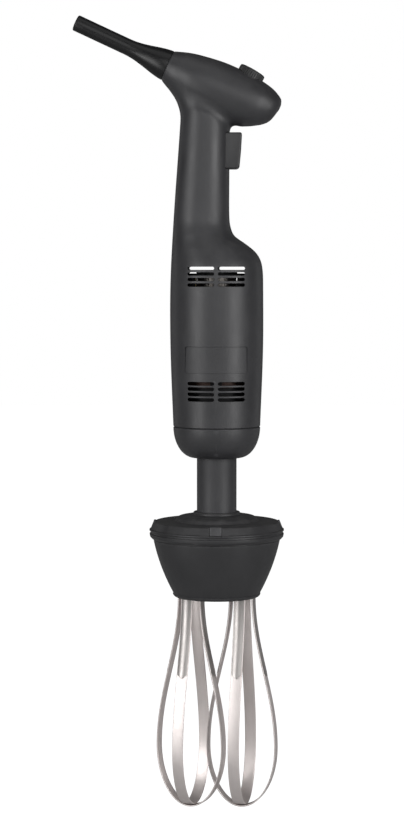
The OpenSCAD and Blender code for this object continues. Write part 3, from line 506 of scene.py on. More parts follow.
def vent_cutter(bm, x0, z, height, side):
    """One slot's cutter: its lip is chamfered all round where it meets the curved case."""
    x_ring, rx, ry = column_section(z)
    lip = 0.35 * MM
    steps = 6
    along = 10
    half = height / 2

    def outline(grow):
        r = half + grow
        left, right = x0 + half, x0 + SLOT_LEN - half
        run = [left + (right - left) * k / along for k in range(along + 1)]
        pts = [(x, -r) for x in run]
        pts += [(right + r * sin(pi * k / steps), -r * cos(pi * k / steps))
                for k in range(1, steps)]
        pts += [(x, r) for x in reversed(run)]
        pts += [(left - r * sin(pi * k / steps), r * cos(pi * k / steps))
                for k in range(1, steps)]
        return pts

    def surface_y(x):
        return sqrt(max(0.0, 1 - ((x - x_ring) / rx) ** 2)) * ry

    skin(bm, [
        [Vector((x, side * (ry + 4 * MM), z + dz)) for x, dz in outline(lip)],
        [Vector((x, side * surface_y(x), z + dz)) for x, dz in outline(lip)],
        [Vector((x, side * (surface_y(x) - lip), z + dz)) for x, dz in outline(0.0)],
        [Vector((x, side * 0.55 * ry, z + dz)) for x, dz in outline(0.0)],
    ])


def vents(side):
    """Cutters for the two groups of slots on one side."""
    bm = bmesh.new()
    for x0 in (SLOT_START, -SLOT_START - SLOT_LEN):
        for row in range(4):
            vent_cutter(bm, x0, UPPER_ROW - row * UPPER_PITCH, UPPER_H, side)
            vent_cutter(bm, x0, LOWER_ROW - row * LOWER_PITCH, LOWER_H, side)
    return put(bm, "vents")


def plate_block(name, width, height, inner, outer, corner, lean=0.0):
    """A rounded plate bent round the body's front, between two radii."""
    w, h = width / 2, height / 2
    ends = [-w + corner * (1 - cos(pi / 2 * k / 8)) for k in range(8)]
    flat = [(corner - w) + 2 * (w - corner) * k / 30 for k in range(31)]
    rings = []
    for x in ends + flat + [-x for x in reversed(ends)]:
        over = max(0.0, abs(x) - (w - corner))
        rise = h - corner + sqrt(max(0.0, corner ** 2 - over ** 2))
        section = [
            (inner, -rise), (outer - lean, -rise), (outer, lean - rise), (outer, rise - lean),
            (outer - lean, rise), (inner, rise),
        ]
        rings.append([Vector((x, -sqrt(r * r - x * x), LABEL_Z + z)) for r, z in section])
    bm = bmesh.new()
    skin(bm, rings)
    return put(bm, name)


def trigger_cutter():
    """The window that the trigger slides in."""
    bm = bmesh.new()
    gap = 0.35 * MM
    w, h, corner = TRIGGER_HALF + gap, TRIGGER_H / 2 + gap, 1.2 * MM
    ring = rounded([(-w, -h, corner), (w, -h, corner), (w, h, corner), (-w, h, corner)], steps=5)
    skin(bm, [[Vector((x, y, TRIGGER_Z + z)) for y, z in ring] for x in (0.0, 0.06)])
    return put(bm, "trigger_window")


def screw_rods(side, r, low, high, steps=32):
    """One rod on each case screw's line, from the parting plane towards one side."""
    lean = Matrix.Rotation(-side * pi / 2, 4, "X")
    return gather([
        rod_shape("rod", r, low, high, Matrix.Translation((x, 0, z)) @ lean, steps)
        for x, z in BOSSES
    ])


def chamfer_tool(r, matrix, size=0.55 * MM):
    """Cuts a chamfer round the start of a cylinder that runs along +Z."""
    return lathe("chamfer", [
        (r - size, -1e-5), (r - size, -SPARE), (r + 3 * MM, -SPARE), (r + 3 * MM, size + 3 * MM),
    ], matrix, 160)


def case_shell():
    """The whole case as one smooth shell, before it is parted."""
    outer = case_skin()
    slab = box_shape("slab", (-0.2, -PARTING / 2, -0.1), (0.2, PARTING / 2, 0.5))
    slab = join_shapes(slab, shrunk(outer, PARTING_DEEP), "DIFFERENCE")
    outer = join_shapes(outer, slab, "DIFFERENCE")
    inner = column("inner", WALL, NOSE_H - SPARE, 60, 64)
    inner = join_shapes(inner, below_head(GRIP_CUT - WALL), "INTERSECT")
    inner = join_shapes(inner, head("inner_head", WALL, WALL, 34, 64), "UNION")
    outer = join_shapes(outer, inner, "DIFFERENCE")
    low = box_shape("low", (-0.2, -0.2, -0.2), (0.2, 0.2, SEAM_Z))
    end = box_shape("end", (-0.06, -0.05, -0.05), (0.0, 0.05, 0.05))
    end.data.transform(ON_HEAD)
    outer = join_shapes(outer, low, "DIFFERENCE")
    outer = join_shapes(outer, end, "DIFFERENCE")
    seam = Matrix.Translation((0, 0, SEAM_Z))
    outer = join_shapes(outer, chamfer_tool(NOSE_R, seam), "DIFFERENCE")
    into_head = ON_HEAD @ Matrix.Rotation(pi / 2, 4, "Y")
    return join_shapes(outer, chamfer_tool(BOOT_SEAT_R, into_head, 0.4 * MM), "DIFFERENCE")


def case_half(name, shell, side):
    """One half of the case, with its posts, slots and openings; side is -1 for the left."""
    half = shell.copy()
    half.data = shell.data.copy()
    half.name = name
    bpy.context.collection.objects.link(half)
    posts = screw_rods(side, BOSS_R + 0.6 * MM, 0.0, 60 * MM)
    trim = column("trim", WALL / 2, NOSE_H + 0.2 * MM, 60, 64)
    trim = join_shapes(trim, head("trim_head", WALL / 2, WALL / 2, 34, 64), "UNION")
    half = join_shapes(half, join_shapes(posts, trim, "INTERSECT"), "UNION")
    far = 0.6
    slit = 0.03 * MM
    low, high = (-far, -far, -far), (far, far, far)
    low, high = ((-far, slit, -far), high) if side > 0 else (low, (far, -slit, far))
    half = join_shapes(half, box_shape("keep", low, high), "INTERSECT")
    openings = gather([
        vents(side), trigger_cutter(),
        rod_shape("dial", DIAL_R + 0.5 * MM, -DIAL_H - 6 * MM, 0.05, ON_DIAL, 96),
        rod_shape("socket", BOOT_SEAT_R - 4 * MM, -WALL - 2 * MM, 0.01, ON_BOOT, 64),
    ])
    half = join_shapes(half, openings, "DIFFERENCE")
    if side > 0:
        half = join_shapes(half, screw_rods(side, 1.8 * MM, -1 * MM, 60 * MM), "DIFFERENCE")
        return join_shapes(half, screw_rods(side, 3.4 * MM, SEAT_Y, 60 * MM, 40), "DIFFERENCE")
    half = join_shapes(half, screw_rods(side, 1.5 * MM, -1 * MM, 10 * MM), "DIFFERENCE")
    recess = plate_block("recess", LABEL_W, LABEL_H, BODY_R - LABEL_DEPTH, BODY_R + 2 * MM,
                         2.4 * MM)
    return join_shapes(half, recess, "DIFFERENCE")


def make_case():
    """Both halves of the case and the blank label plate."""
    shell = case_shell()
    left = smooth(case_half("case_left", shell, -1), 30)
    right = smooth(case_half("case_right", shell, 1), 30)
    bpy.data.objects.remove(shell)
    plate = plate_block("blank_label", LABEL_W - 2 * LABEL_GAP, LABEL_H - 2 * LABEL_GAP,
                        BODY_R - LABEL_DEPTH + 0.02 * MM, BODY_R - 0.12 * MM, 2.1 * MM, 0.12 * MM)
    return left, right, smooth(plate, 30)


# ---------------------------------------------------------------- lathed pieces
def make_nose():
    """The nose cap: a rounded bowl with a spigot, a chamfered joint and a fine mould line."""
    foot = STEM_R + 2.8 * MM
    chamfer = 0.7 * MM
    seam = NOSE_H - 0.15 * MM
    steps = 26
    wide = NOSE_R - foot
    turns = [pi / 2 * k / steps for k in range(steps)]
    bowl = [(foot + wide * sin(a), NOSE_H * (1 - cos(a))) for a in turns]
    spigot = NOSE_R - WALL - 0.3 * MM
    inner = spigot - WALL
    outline = [(STEM_R + 0.1 * MM, 0.5 * MM), (STEM_R + 0.5 * MM, 0.0)] + bowl + [
        (NOSE_R, seam - chamfer), (NOSE_R - chamfer, seam), (spigot, seam),
        (spigot, NOSE_H + 5 * MM), (inner, NOSE_H + 5 * MM), (inner, 12 * MM),
        (STEM_R + 0.1 * MM, 12 * MM),
    ]
    nose = lathe("nose", outline, steps=160)
    for side in (-1, 1):
        bm = bmesh.new()
        rings = []
        for a, (r, z) in zip(turns, bowl):
            out = Vector((NOSE_H * sin(a), -wide * cos(a))).normalized()
            rings.append([
                Vector((x, side * (r + out.x * d), z + out.y * d))
                for x, d in ((-0.3 * MM, -0.4 * MM), (-0.16 * MM, 0.14 * MM),
                             (0.16 * MM, 0.14 * MM), (0.3 * MM, -0.4 * MM))
            ])
        skin(bm, rings[2:])
        nose = join_shapes(nose, put(bm, "mould_line"), "UNION")
    return smooth(nose, 30)


def make_stem():
    """The bare stem tube, with the flange that the nose cap hides."""
    outline = [
        (STEM_R, COVER_Z - 7 * MM), (STEM_R, 12 * MM), (STEM_R + 6.8 * MM, 12 * MM),
        (STEM_R + 6.8 * MM, 15 * MM), (STEM_R - 3 * MM, 15 * MM),
        (STEM_R - 3 * MM, COVER_Z - 7 * MM),
    ]
    return smooth(lathe("stem", outline, steps=128), 30)


def make_cover():
    """Gearbox cover: neck ring, stepped dome and a rim with a groove and two beads."""
    z = COVER_Z
    r = STEM_R
    mm = MM
    outline = rounded([
        (8 * mm, z - 10.5 * mm, 0),
        (8 * mm, z - 7 * mm, 0),
        (r + 0.05 * mm, z - 7 * mm, 0),
        (r + 0.05 * mm, z, 0.2 * mm),
        (r + 2.6 * mm, z, 0.7 * mm),
        (r + 3.2 * mm, z - 1.0 * mm, 0.3 * mm),
        (r + 3.2 * mm, z - 2.4 * mm, 0.5 * mm),
        (r + 9.5 * mm, z - 2.9 * mm, 8 * mm),
        (r + 15.5 * mm, z - 4 * mm, 6 * mm),
        (r + 17.4 * mm, z - 5.4 * mm, 1.4 * mm),
        (r + 19.2 * mm, z - 8.0 * mm, 0.7 * mm),
        (RIM_R - 4.4 * mm, z - 8.6 * mm, 0.8 * mm),
        (RIM_R - 1.4 * mm, z - 14.6 * mm, 0.5 * mm),
        (RIM_R, z - 15.2 * mm, 0.4 * mm),
        (RIM_R, z - 16.3 * mm, 0.3 * mm),
        (RIM_R - 1.2 * mm, z - 16.8 * mm, 0.3 * mm),
        (RIM_R - 1.2 * mm, z - 18.2 * mm, 0.3 * mm),
        (RIM_R - 0.1 * mm, z - 18.9 * mm, 0.6 * mm),
        (RIM_R - 0.5 * mm, z - 21.4 * mm, 1.1 * mm),
        (RIM_R - 2.2 * mm, PARTING_Z, 0.4 * mm),
        (LIP_R - BOX_WALL, PARTING_Z, 0),
        (LIP_R - BOX_WALL, z - 13 * mm, 2 * mm),
        (LIP_R - 6.1 * mm, z - 10.5 * mm, 0),
    ], steps=5)
    cover = lathe("cover", outline, steps=192)
    for k in range(4):
        spin = Matrix.Rotation(radians(90 * k), 4, "Z")
        notch = box_shape("notch", (CLIP_R - 0.3 * mm, -5.5 * mm, z - 15.2 * mm),
                          (RIM_R + 5 * mm, 5.5 * mm, z + 1 * mm))
        notch.data.transform(spin)
        cover = join_shapes(cover, notch, "DIFFERENCE")
    for x in (-SPINDLE_X, SPINDLE_X):
        at = Matrix.Translation((x, 0, 0))
        sleeve = lathe("sleeve", [
            (8.8 * mm, z - 10 * mm), (8.8 * mm, z - 19 * mm), (7 * mm, z - 19 * mm),
            (7 * mm, z - 10 * mm),
        ], at, 64)
        cover = join_shapes(cover, sleeve, "UNION")
    return smooth(cover, 26)


def make_clips():
    """Four snap clips: a block in the rim and a tongue down in to the gearbox's lip."""
    bm = bmesh.new()
    w = 4.95 * MM
    z = COVER_Z
    outline = rounded([
        (CLIP_R, BOX_TOP - 1.8 * MM, 0.2 * MM),
        (CLIP_R + 1.2 * MM, BOX_TOP - 1.8 * MM, 0.3 * MM),
        (CLIP_R + 1.2 * MM, z - 15.1 * MM, 0.0),
        (RIM_R - 1.0 * MM, z - 15.1 * MM, 0.4 * MM),
        (RIM_R - 3.3 * MM, z - 9.2 * MM, 1.5 * MM),
        (RIM_R - 3.9 * MM, z - 7.7 * MM, 0.7 * MM),
        (CLIP_R, z - 7.7 * MM, 0.5 * MM),
    ], steps=5)
    middle = Vector((CLIP_R + 1.5 * MM, z - 11 * MM))
    edge = 0.4 * MM
    for k in range(4):
        spin = Matrix.Rotation(radians(90 * k), 4, "Z")
        rings = []
        for y, pull in ((-w, edge), (-w + edge, 0), (w - edge, 0), (w, edge)):
            ring = []
            for x, h in outline:
                p = Vector((x, h))
                if h > z - 15.3 * MM:
                    p -= (p - middle).normalized() * pull
                ring.append(spin @ Vector((p.x, y, p.y)))
            rings.append(ring)
        skin(bm, rings)
    return smooth(put(bm, "clips"), 35)


def cone_radius(z):
    """Radius of the gearbox's side, which swells a little between lip and foot."""
    u = (BOX_TOP - z) / (BOX_TOP - BOX_BOTTOM - 4 * MM)
    return LIP_R + (FLOOR_R - LIP_R) * u + 1.9 * MM * 4 * u * (1 - u)


def make_gearbox():
    """The gearbox: a tapered cup with a rounded foot and a boss round each spindle."""
    steps = 24
    corner = 3 * MM
    low = BOX_BOTTOM + corner
    heights = [BOX_TOP + (low - BOX_TOP) * k / steps for k in range(steps + 1)]
    side = [(cone_radius(z), z) for z in heights]
    chamfer = 0.35 * MM
    top = [(LIP_R - chamfer, BOX_TOP), (cone_radius(BOX_TOP - chamfer), BOX_TOP - chamfer)]
    foot = [
        (FLOOR_R - corner + corner * cos(a), low - corner * sin(a))
        for a in (pi / 2 * k / 8 for k in range(1, 9))
    ]
    inside = [(x - BOX_WALL, z) for x, z in side[:-2:4]][::-1]
    floor = BOX_BOTTOM + 6.3 * MM
    outline = top + side[1:] + foot + [(0.0, BOX_BOTTOM), (0.0, floor), (FLOOR_R - 3 * MM, floor)]
    cup = lathe("gearbox", outline + inside, steps=192)
    for x in (-SPINDLE_X, SPINDLE_X):
        at = Matrix.Translation((x, 0, 0))
        ceiling = BOX_BOTTOM + POCKET_H
        post = lathe("post", [
            (8 * MM, ceiling), (8 * MM, ceiling + 14.5 * MM), (10.5 * MM, ceiling + 14.5 * MM),
            (10.5 * MM, ceiling + 5 * MM), (POCKET_R + 2.6 * MM, ceiling + 5 * MM),
            (POCKET_R + 2.6 * MM, BOX_BOTTOM + 3 * MM), (POCKET_R - 1 * MM, BOX_BOTTOM + 3 * MM),
            (POCKET_R - 1 * MM, ceiling),
        ], at, 96)
        cup = join_shapes(cup, post, "UNION")
        pocket = lathe("pocket", [
            (0.0, ceiling), (0.0, BOX_BOTTOM - 0.01), (POCKET_R + 0.01, BOX_BOTTOM - 0.01),
            (POCKET_R + 0.3 * MM, BOX_BOTTOM - 0.001), (POCKET_R + 0.3 * MM, BOX_BOTTOM),
            (POCKET_R, BOX_BOTTOM + 0.4 * MM), (POCKET_R, ceiling),
        ], at, 96)
        cup = join_shapes(cup, pocket, "DIFFERENCE")
    return smooth(cup, 28)


def make_boot():
    """The cord boot: a thick rubber tube that flares in to the head."""
    flare = 27 * MM
    steps = 22
    outer = []
    for k in range(steps + 1):
        u = k / steps
        s = flare * 1.45 * u
        fade = 0.5 * (1 + cos(pi * min(1.0, u ** 0.86)))
        swell_out = (BOOT_SEAT_R - 0.2 * MM - BOOT_R) * fade
        outer.append((BOOT_R + swell_out, 0.35 * MM + s))
    outline = [
        (CORD_R, -WALL - 1.9 * MM), (BOOT_SEAT_R - 4.3 * MM, -WALL - 1.9 * MM),
        (BOOT_SEAT_R - 4.3 * MM, 0.0), (BOOT_SEAT_R - 0.5 * MM, 0.0),
    ] + outer
    outline += [(BOOT_R, BOOT_LEN * 0.75)]
    outline += rounded([
        (BOOT_R, BOOT_LEN * 0.9, 0), (BOOT_R, BOOT_LEN, 1.1 * MM),
        (CORD_R, BOOT_LEN, 0.5 * MM), (CORD_R, BOOT_LEN * 0.9, 0),
    ], closed=False, steps=5)
    return smooth(lathe("boot", outline, ON_BOOT, 96), 35)


def make_dial():
    """The speed dial: fine vertical ribs under a slightly domed top."""
    ribs = 36
    per = 8
    steps = ribs * per
    bm = bmesh.new()

    def ring(r, z, depth):
        pts = []
        for a in even_angles(steps):
            dip = depth * max(0.0, cos(ribs * a)) ** 2
            pts.append(Vector(((r - dip) * cos(a), (r - dip) * sin(a), z)))
        return pts

    deep = 0.55 * MM
    stack = [
        ring(DIAL_R - 0.4 * MM, -DIAL_H, 0.0), ring(DIAL_R, -DIAL_H + 0.4 * MM, deep),
        ring(DIAL_R, -2.3 * MM, deep), ring(DIAL_R - 0.05 * MM, -1.8 * MM, 0.4 * deep),
        ring(DIAL_R - 0.15 * MM, -1.5 * MM, 0.0), ring(DIAL_R - 0.5 * MM, -1.0 * MM, 0.0),
        ring(DIAL_R - 1.1 * MM, -0.7 * MM, 0.0), ring(DIAL_R - 1.8 * MM, -0.55 * MM, 0.0),
        ring(0.6 * DIAL_R, -0.25 * MM, 0.0), ring(0.3 * DIAL_R, -0.08 * MM, 0.0),
        ring(0.1 * DIAL_R, -0.01 * MM, 0.0),
    ]
    skin(bm, stack)
    dial = put(bm, "dial", ON_DIAL)
    hole = rod_shape("hole", 3.02 * MM, -DIAL_H - 1 * MM, -3.5 * MM, ON_DIAL, 48)
    return smooth(join_shapes(dial, hole, "DIFFERENCE"), 40)


def make_trigger():
    """The trigger: a block with a slightly hollow face and soft edges."""
    low, high = TRIGGER_Z - TRIGGER_H / 2, TRIGGER_Z + TRIGGER_H / 2
    lean = 2.4 * MM
    out = TRIGGER_OUT
    face = rounded([
        (TRIGGER_BACK, low, 0), (out - lean, low, 3.2 * MM), (out - 0.9 * MM, TRIGGER_Z, 60 * MM),
        (out, high, 1.6 * MM), (TRIGGER_BACK, high, 0),
    ], steps=8)
    bm = bmesh.new()
    centre = Vector((0.4 * out, TRIGGER_Z))
    edge = 1.5 * MM
    stack = []
    turns = 6
    sides = [(-1, k) for k in range(turns + 1)] + [(1, turns - k) for k in range(turns + 1)]
    for side, k in sides:
        a = pi / 2 * k / turns
        y = side * (TRIGGER_HALF - edge + edge * cos(a))
        pull = edge * (1 - sin(a))
        ring = []
        for x, z in face:
            p = Vector((x, z))
            d = p - centre
            if x > TRIGGER_BACK + 1e-6:
                p.x -= pull * max(0.0, min(1.0, (x - TRIGGER_BACK) / (6 * MM)))
            p.y -= pull * max(-1.0, min(1.0, d.y / (8 * MM)))
            ring.append(Vector((p.x, y, p.y)))
        stack.append(ring)
    skin(bm, stack)
    body = put(bm, "trigger_pad")
    flange = box_shape("flange", (TRIGGER_BACK, -5.5 * MM, low - 3 * MM),
                       (TRIGGER_BACK + 2 * MM, 5.5 * MM, high + 3 * MM))
    return smooth(join_shapes(body, flange, "UNION"), 35)


# ---------------------------------------------------------------- whisks
def loop_line(depth):
    """Half of a loop's centre line, from the hub to the axis, as (radius, height)."""
    foot = HUB_TOP - WHISK_LEN + STRIP_T / 2 + depth
    leg = HUB_HALF + 0.02 * MM + STRIP_T / 2
    waist = HUB_TOP - 0.05 * WHISK_LEN
    belly = HUB_TOP - 0.733 * WHISK_LEN
    wide = WHISK_R - STRIP_T / 2
    steps = 34
    line = [Vector((leg, HUB_TOP - 2 * MM)), Vector((leg, HUB_TOP - 5 * MM))]
    for k in range(steps + 1):
        u = k / steps
        r = leg + (wide - leg) * (1 - cos(pi * u)) / 2
        line.append(Vector((r, waist + (belly - waist) * u)))
    for k in range(1, steps + 1):
        a = pi / 2 * k / steps
        line.append(Vector((wide * cos(a), belly - (belly - foot) * sin(a))))
    return line


def make_loop(name, x, turn, depth):
    """One loop of flat strip with rolled edges."""
    half = loop_line(depth)
    line = half + [Vector((-p.x, p.y)) for p in half[-2::-1]]
    r = STRIP_T * 0.46
    section = rounded([
        (-STRIP_W / 2, -STRIP_T / 2, r), (STRIP_W / 2, -STRIP_T / 2, r),
        (STRIP_W / 2, STRIP_T / 2, r), (-STRIP_W / 2, STRIP_T / 2, r),
    ], steps=4)
    bm = bmesh.new()
    grain = bm.verts.layers.float_vector.new("strip")
    rings = []
    along = [0.0]
    last = len(line) - 1
    for k, p in enumerate(line):
        ahead = (line[min(last, k + 1)] - line[max(0, k - 1)]).normalized()
        side = Vector((-ahead.y, ahead.x))
        rings.append([Vector((p.x + side.x * t, w, p.y + side.y * t)) for w, t in section])
        along.append(along[-1] + (line[min(last, k + 1)] - p).length)
    for far, ring in zip(along, skin(bm, rings)):
        for v, (w, t) in zip(ring, section):
            v[grain] = (far, w, t)
    spin = Matrix.Translation((x, 0, 0)) @ Matrix.Rotation(turn, 4, "Z")
    return smooth(put(bm, name, spin), 40)


def make_fingers(name, x, turn):
    """Four rolled and pointed fingers that stiffen the legs of a whisk."""
    line = loop_line(0.0)
    heights = np.array([p.y for p in line][::-1])
    radii = np.array([p.x for p in line][::-1])

    def leg_radius(z):
        return np.interp(z, heights, radii)

    top, tip = HUB_TOP - 2 * MM, HUB_TOP - FINGER_LEN
    full = STRIP_W / 2 - 0.8 * MM
    stations = [(top + (tip + 3.4 * MM - top) * k / 40, full) for k in range(41)]
    stations += [(tip + 3.1 * MM, full - 0.25 * MM), (tip + 0.5 * MM, 1.1 * MM),
                 (tip, 0.4 * MM)]
    lanes = [-1 + 2 * k / 10 for k in range(11)]
    bm = bmesh.new()
    grain = bm.verts.layers.float_vector.new("strip")
    for quarter in range(4):
        spin = Matrix.Translation((x, 0, 0)) @ Matrix.Rotation(turn + quarter * pi / 2, 4, "Z")
        rings = []
        for z, half in stations:
            r = leg_radius(z)
            slope = (leg_radius(z + MM) - leg_radius(z - MM)) / (2 * MM)
            lean = hypot(slope, 1.0)
            outer, inner = [], []
            for s in lanes:
                crown = 0.85 * (1 - (s * half / full) ** 2) * MM
                y = s * half
                outer.append(Vector((r + (STRIP_T / 2 + 0.35 * MM + crown) * lean, y, z)))
                inner.append(Vector((r + (STRIP_T / 2 + 0.05 * MM + 0.55 * crown) * lean, y, z)))
            rings.append([spin @ v for v in outer + inner[::-1]])
        for (z, half), ring in zip(stations, skin(bm, rings)):
            for v, s in zip(ring, lanes + lanes[::-1]):
                v[grain] = (top - z, s * half, 0.01 * quarter)
    return smooth(put(bm, name), 40)


def make_hub(name, x, turn):
    """A square hub with turned ends, flats for the strips and a lead-in at its bore."""
    at = Matrix.Translation((x, 0, 0)) @ Matrix.Rotation(turn, 4, "Z")
    low = HUB_TOP - HUB_H
    outer = HUB_HALF + 2.4 * MM
    blank = lathe("blank", rounded([
        (0, low, 0), (outer, low, 2.2 * MM), (outer, HUB_TOP, 1.2 * MM), (0, HUB_TOP, 0),
    ], steps=5), at, 96)
    square = box_shape("square", (-HUB_HALF, -HUB_HALF, low - 0.01),
                       (HUB_HALF, HUB_HALF, HUB_TOP + 0.01))
    square.data.transform(at)
    hub = join_shapes(blank, square, "INTERSECT")
    bore = rod_shape("bore", 5.04 * MM, BOX_BOTTOM - 0.3 * MM, HUB_TOP + 0.01, at, 64)
    hub = join_shapes(hub, bore, "DIFFERENCE")
    hub.name = name
    return smooth(bevel(hub, 0.25 * MM, 2), 30)


# ---------------------------------------------------------------- materials
def add(tree, kind, inputs=None, **settings):
    """A shader node, with its settings, and its inputs linked or set."""
    node = tree.nodes.new("ShaderNode" + kind)
    for key, value in settings.items():
        setattr(node, key, value)
    for key, value in (inputs or {}).items():
        if isinstance(value, bpy.types.NodeSocket):
            tree.links.new(value, node.inputs[key])
        else:
            node.inputs[key].default_value = value
    return node


def noise(tree, coord, scale, detail, stretch=(1, 1, 1)):
    """Noise between 0 and 1, drawn out along the axes where stretch is small."""
    if stretch != (1, 1, 1):
        coord = add(tree, "Mapping", {"Vector": coord, "Scale": stretch}).outputs["Vector"]
    return add(tree, "TexNoise", {
        "Vector": coord, "Scale": scale, "Detail": detail, "Roughness": 0.55,
    }).outputs["Fac"]


def remap(tree, value, low, high, a, b):
    """Maps the range from low to high on to the range from a to b."""
    return add(tree, "MapRange", {
        "Value": value, "From Min": low, "From Max": high, "To Min": a, "To Max": b,
    }).outputs["Result"]


def blend_colors(tree, amount, a, b):
    """Colour a where amount is 0 and b where it is 1."""
    node = add(tree, "Mix", data_type="RGBA")
    for slot_number, value in ((0, amount), (6, a), (7, b)):
        if isinstance(value, bpy.types.NodeSocket):
            tree.links.new(value, node.inputs[slot_number])
        else:
            node.inputs[slot_number].default_value = (*value, 1.0)
    return node.outputs[2]


LOOKS = {}


def surface(
    name, color, rough, metal=0.0, shade=0.2, blotch=28.0, grain=2400.0, depth=0.03,
    stretch=(1, 1, 1), wear=0.0, wear_color=None, specular=0.5, coat=0.0,
    strip=False, dust=0.0, ripple=0.0,
):
    """Adds a look: patchy colour, uneven gloss, fine grain, worn edges and dust."""
    mat = bpy.data.materials.new(name)
    mat.use_nodes = True
    tree = mat.node_tree
    shader = tree.nodes["Principled BSDF"]
    if strip:
        coord = add(tree, "Attribute", attribute_name="strip").outputs["Vector"]
    else:
        coord = add(tree, "TexCoord").outputs["Object"]
    fine = noise(tree, coord, grain, 3.0, stretch)
    patch = noise(tree, coord, blotch, 5.0)
    smear = noise(tree, coord, blotch * 5.3, 4.0, (1, 1, 0.35))
    dim = tuple(c * (1 - shade) for c in color)
    lit = tuple(min(1.0, c * (1 + shade)) for c in color)
    shown = blend_colors(tree, remap(tree, patch, 0.3, 0.7, 0, 1), dim, lit)
    speck = remap(tree, fine, 0.35, 0.65, 0.0, 0.5)
    shown = blend_colors(tree, speck, shown, lit)
    if wear:
        edge = add(tree, "NewGeometry").outputs["Pointiness"]
        rim = remap(tree, edge, 0.515, 0.6, 0.0, wear)
        worn = add(tree, "Math", {0: rim, 1: remap(tree, smear, 0.35, 0.6, 0.25, 1.0)},
                   operation="MULTIPLY").outputs[0]
        shown = blend_colors(tree, worn, shown, wear_color or tuple(c * 3 + 0.02 for c in color))
    if dust:
        up = add(tree, "SeparateXYZ", {0: add(tree, "NewGeometry").outputs["Normal"]}).outputs["Z"]
        lay = add(tree, "Math", {0: remap(tree, up, 0.2, 1.0, 0.0, dust),
                                 1: remap(tree, smear, 0.4, 0.7, 0.2, 1.0)},
                  operation="MULTIPLY").outputs[0]
        shown = blend_colors(tree, lay, shown, (0.35, 0.34, 0.32))
    tree.links.new(shown, shader.inputs["Base Color"])
    gloss = add(tree, "Math", {0: remap(tree, patch, 0.3, 0.7, rough[0], rough[1]),
                               1: remap(tree, smear, 0.3, 0.7, -0.04, 0.04)},
                operation="ADD").outputs[0]
    tree.links.new(gloss, shader.inputs["Roughness"])
    bump = add(tree, "Bump", {"Height": fine, "Strength": 0.6, "Distance": depth * MM})
    if ripple:
        wave = noise(tree, coord, 60.0, 2.0)
        bump = add(tree, "Bump", {
            "Height": wave, "Strength": 0.5, "Distance": ripple * MM,
            "Normal": bump.outputs["Normal"],
        })
    tree.links.new(bump.outputs["Normal"], shader.inputs["Normal"])
    shader.inputs["Metallic"].default_value = metal
    shader.inputs["Specular IOR Level"].default_value = specular
    shader.inputs["Coat Weight"].default_value = coat
    shader.inputs["Coat Roughness"].default_value = 0.2
    LOOKS[name] = mat


STEEL = (0.65, 0.6, 0.585)
surface(
    "case_plastic", (0.022, 0.022, 0.024), (0.42, 0.5), grain=2600, depth=0.035, wear=0.5,
    dust=0.05, ripple=0.05)
surface(
    "nose_plastic", (0.021, 0.021, 0.023), (0.42, 0.5), grain=2600, depth=0.035, wear=0.5,
    dust=0.05, ripple=0.05)
surface(
    "label_plastic", (0.021, 0.021, 0.023), (0.44, 0.52), grain=2600, depth=0.035,
    dust=0.05, ripple=0.05)
surface(
    "stem_plastic", (0.02, 0.02, 0.022), (0.5, 0.58), grain=2400, depth=0.03, wear=0.4,
    ripple=0.04)
surface(
    "gearbox_plastic", (0.017, 0.017, 0.0185), (0.44, 0.54), grain=2000, depth=0.045, wear=0.55,
    dust=0.08, ripple=0.06)
surface(
    "clip_plastic", (0.02, 0.02, 0.022), (0.38, 0.46), grain=2200, depth=0.03, wear=0.6)
surface(
    "trigger_plastic", (0.012, 0.012, 0.013), (0.42, 0.52), grain=2400, depth=0.03, wear=0.7)
surface(
    "dial_plastic", (0.006, 0.006, 0.0065), (0.36, 0.46), grain=2400, depth=0.02, wear=0.5)
surface(
    "boot_rubber", (0.004, 0.004, 0.0045), (0.3, 0.38), grain=2400, depth=0.008, shade=0.2,
    specular=0.34)
surface(
    "seal_rubber", (0.012, 0.012, 0.012), (0.45, 0.6), grain=1500, depth=0.04, dust=0.1)
surface(
    "spider_rubber", (0.16, 0.02, 0.015), (0.45, 0.6), grain=1500, depth=0.05)
surface(
    "whisk_steel", STEEL, (0.4, 0.48), metal=0.74, shade=0.05, blotch=60, grain=2200,
    depth=0.002, stretch=(0.015, 1, 1), strip=True, wear=0.2, wear_color=(0.8, 0.78, 0.76))
surface(
    "finger_steel", (0.36, 0.34, 0.33), (0.34, 0.42), metal=0.88, shade=0.05, blotch=60,
    grain=2200, depth=0.002, stretch=(0.015, 1, 1), strip=True, wear=0.2,
    wear_color=(0.8, 0.78, 0.76))
surface(
    "hub_steel", (0.42, 0.41, 0.395), (0.24, 0.36), metal=1.0, shade=0.1, blotch=70, grain=2600,
    depth=0.01, stretch=(0.15, 0.15, 1))
surface(
    "machined_steel", (0.5, 0.49, 0.48), (0.2, 0.32), metal=1.0, shade=0.08, blotch=60,
    grain=2600, depth=0.01, stretch=(0.1, 0.1, 1))
surface(
    "gear_steel", (0.36, 0.35, 0.34), (0.3, 0.45), metal=1.0, shade=0.12, blotch=60,
    depth=0.02, wear=0.4, wear_color=(0.6, 0.59, 0.57))
surface(
    "spring_steel", (0.5, 0.48, 0.44), (0.22, 0.32), metal=1.0, shade=0.1, blotch=200)
surface(
    "screw_steel", (0.45, 0.44, 0.42), (0.28, 0.42), metal=1.0, shade=0.12, blotch=120,
    wear=0.3, wear_color=(0.7, 0.69, 0.67))
surface(
    "lamination_steel", (0.3, 0.3, 0.31), (0.35, 0.5), metal=1.0, shade=0.15, grain=900,
    depth=0.12, stretch=(0.02, 0.02, 1.0))
surface(
    "bronze", (0.46, 0.32, 0.15), (0.35, 0.5), metal=1.0, shade=0.18, blotch=120, depth=0.04)
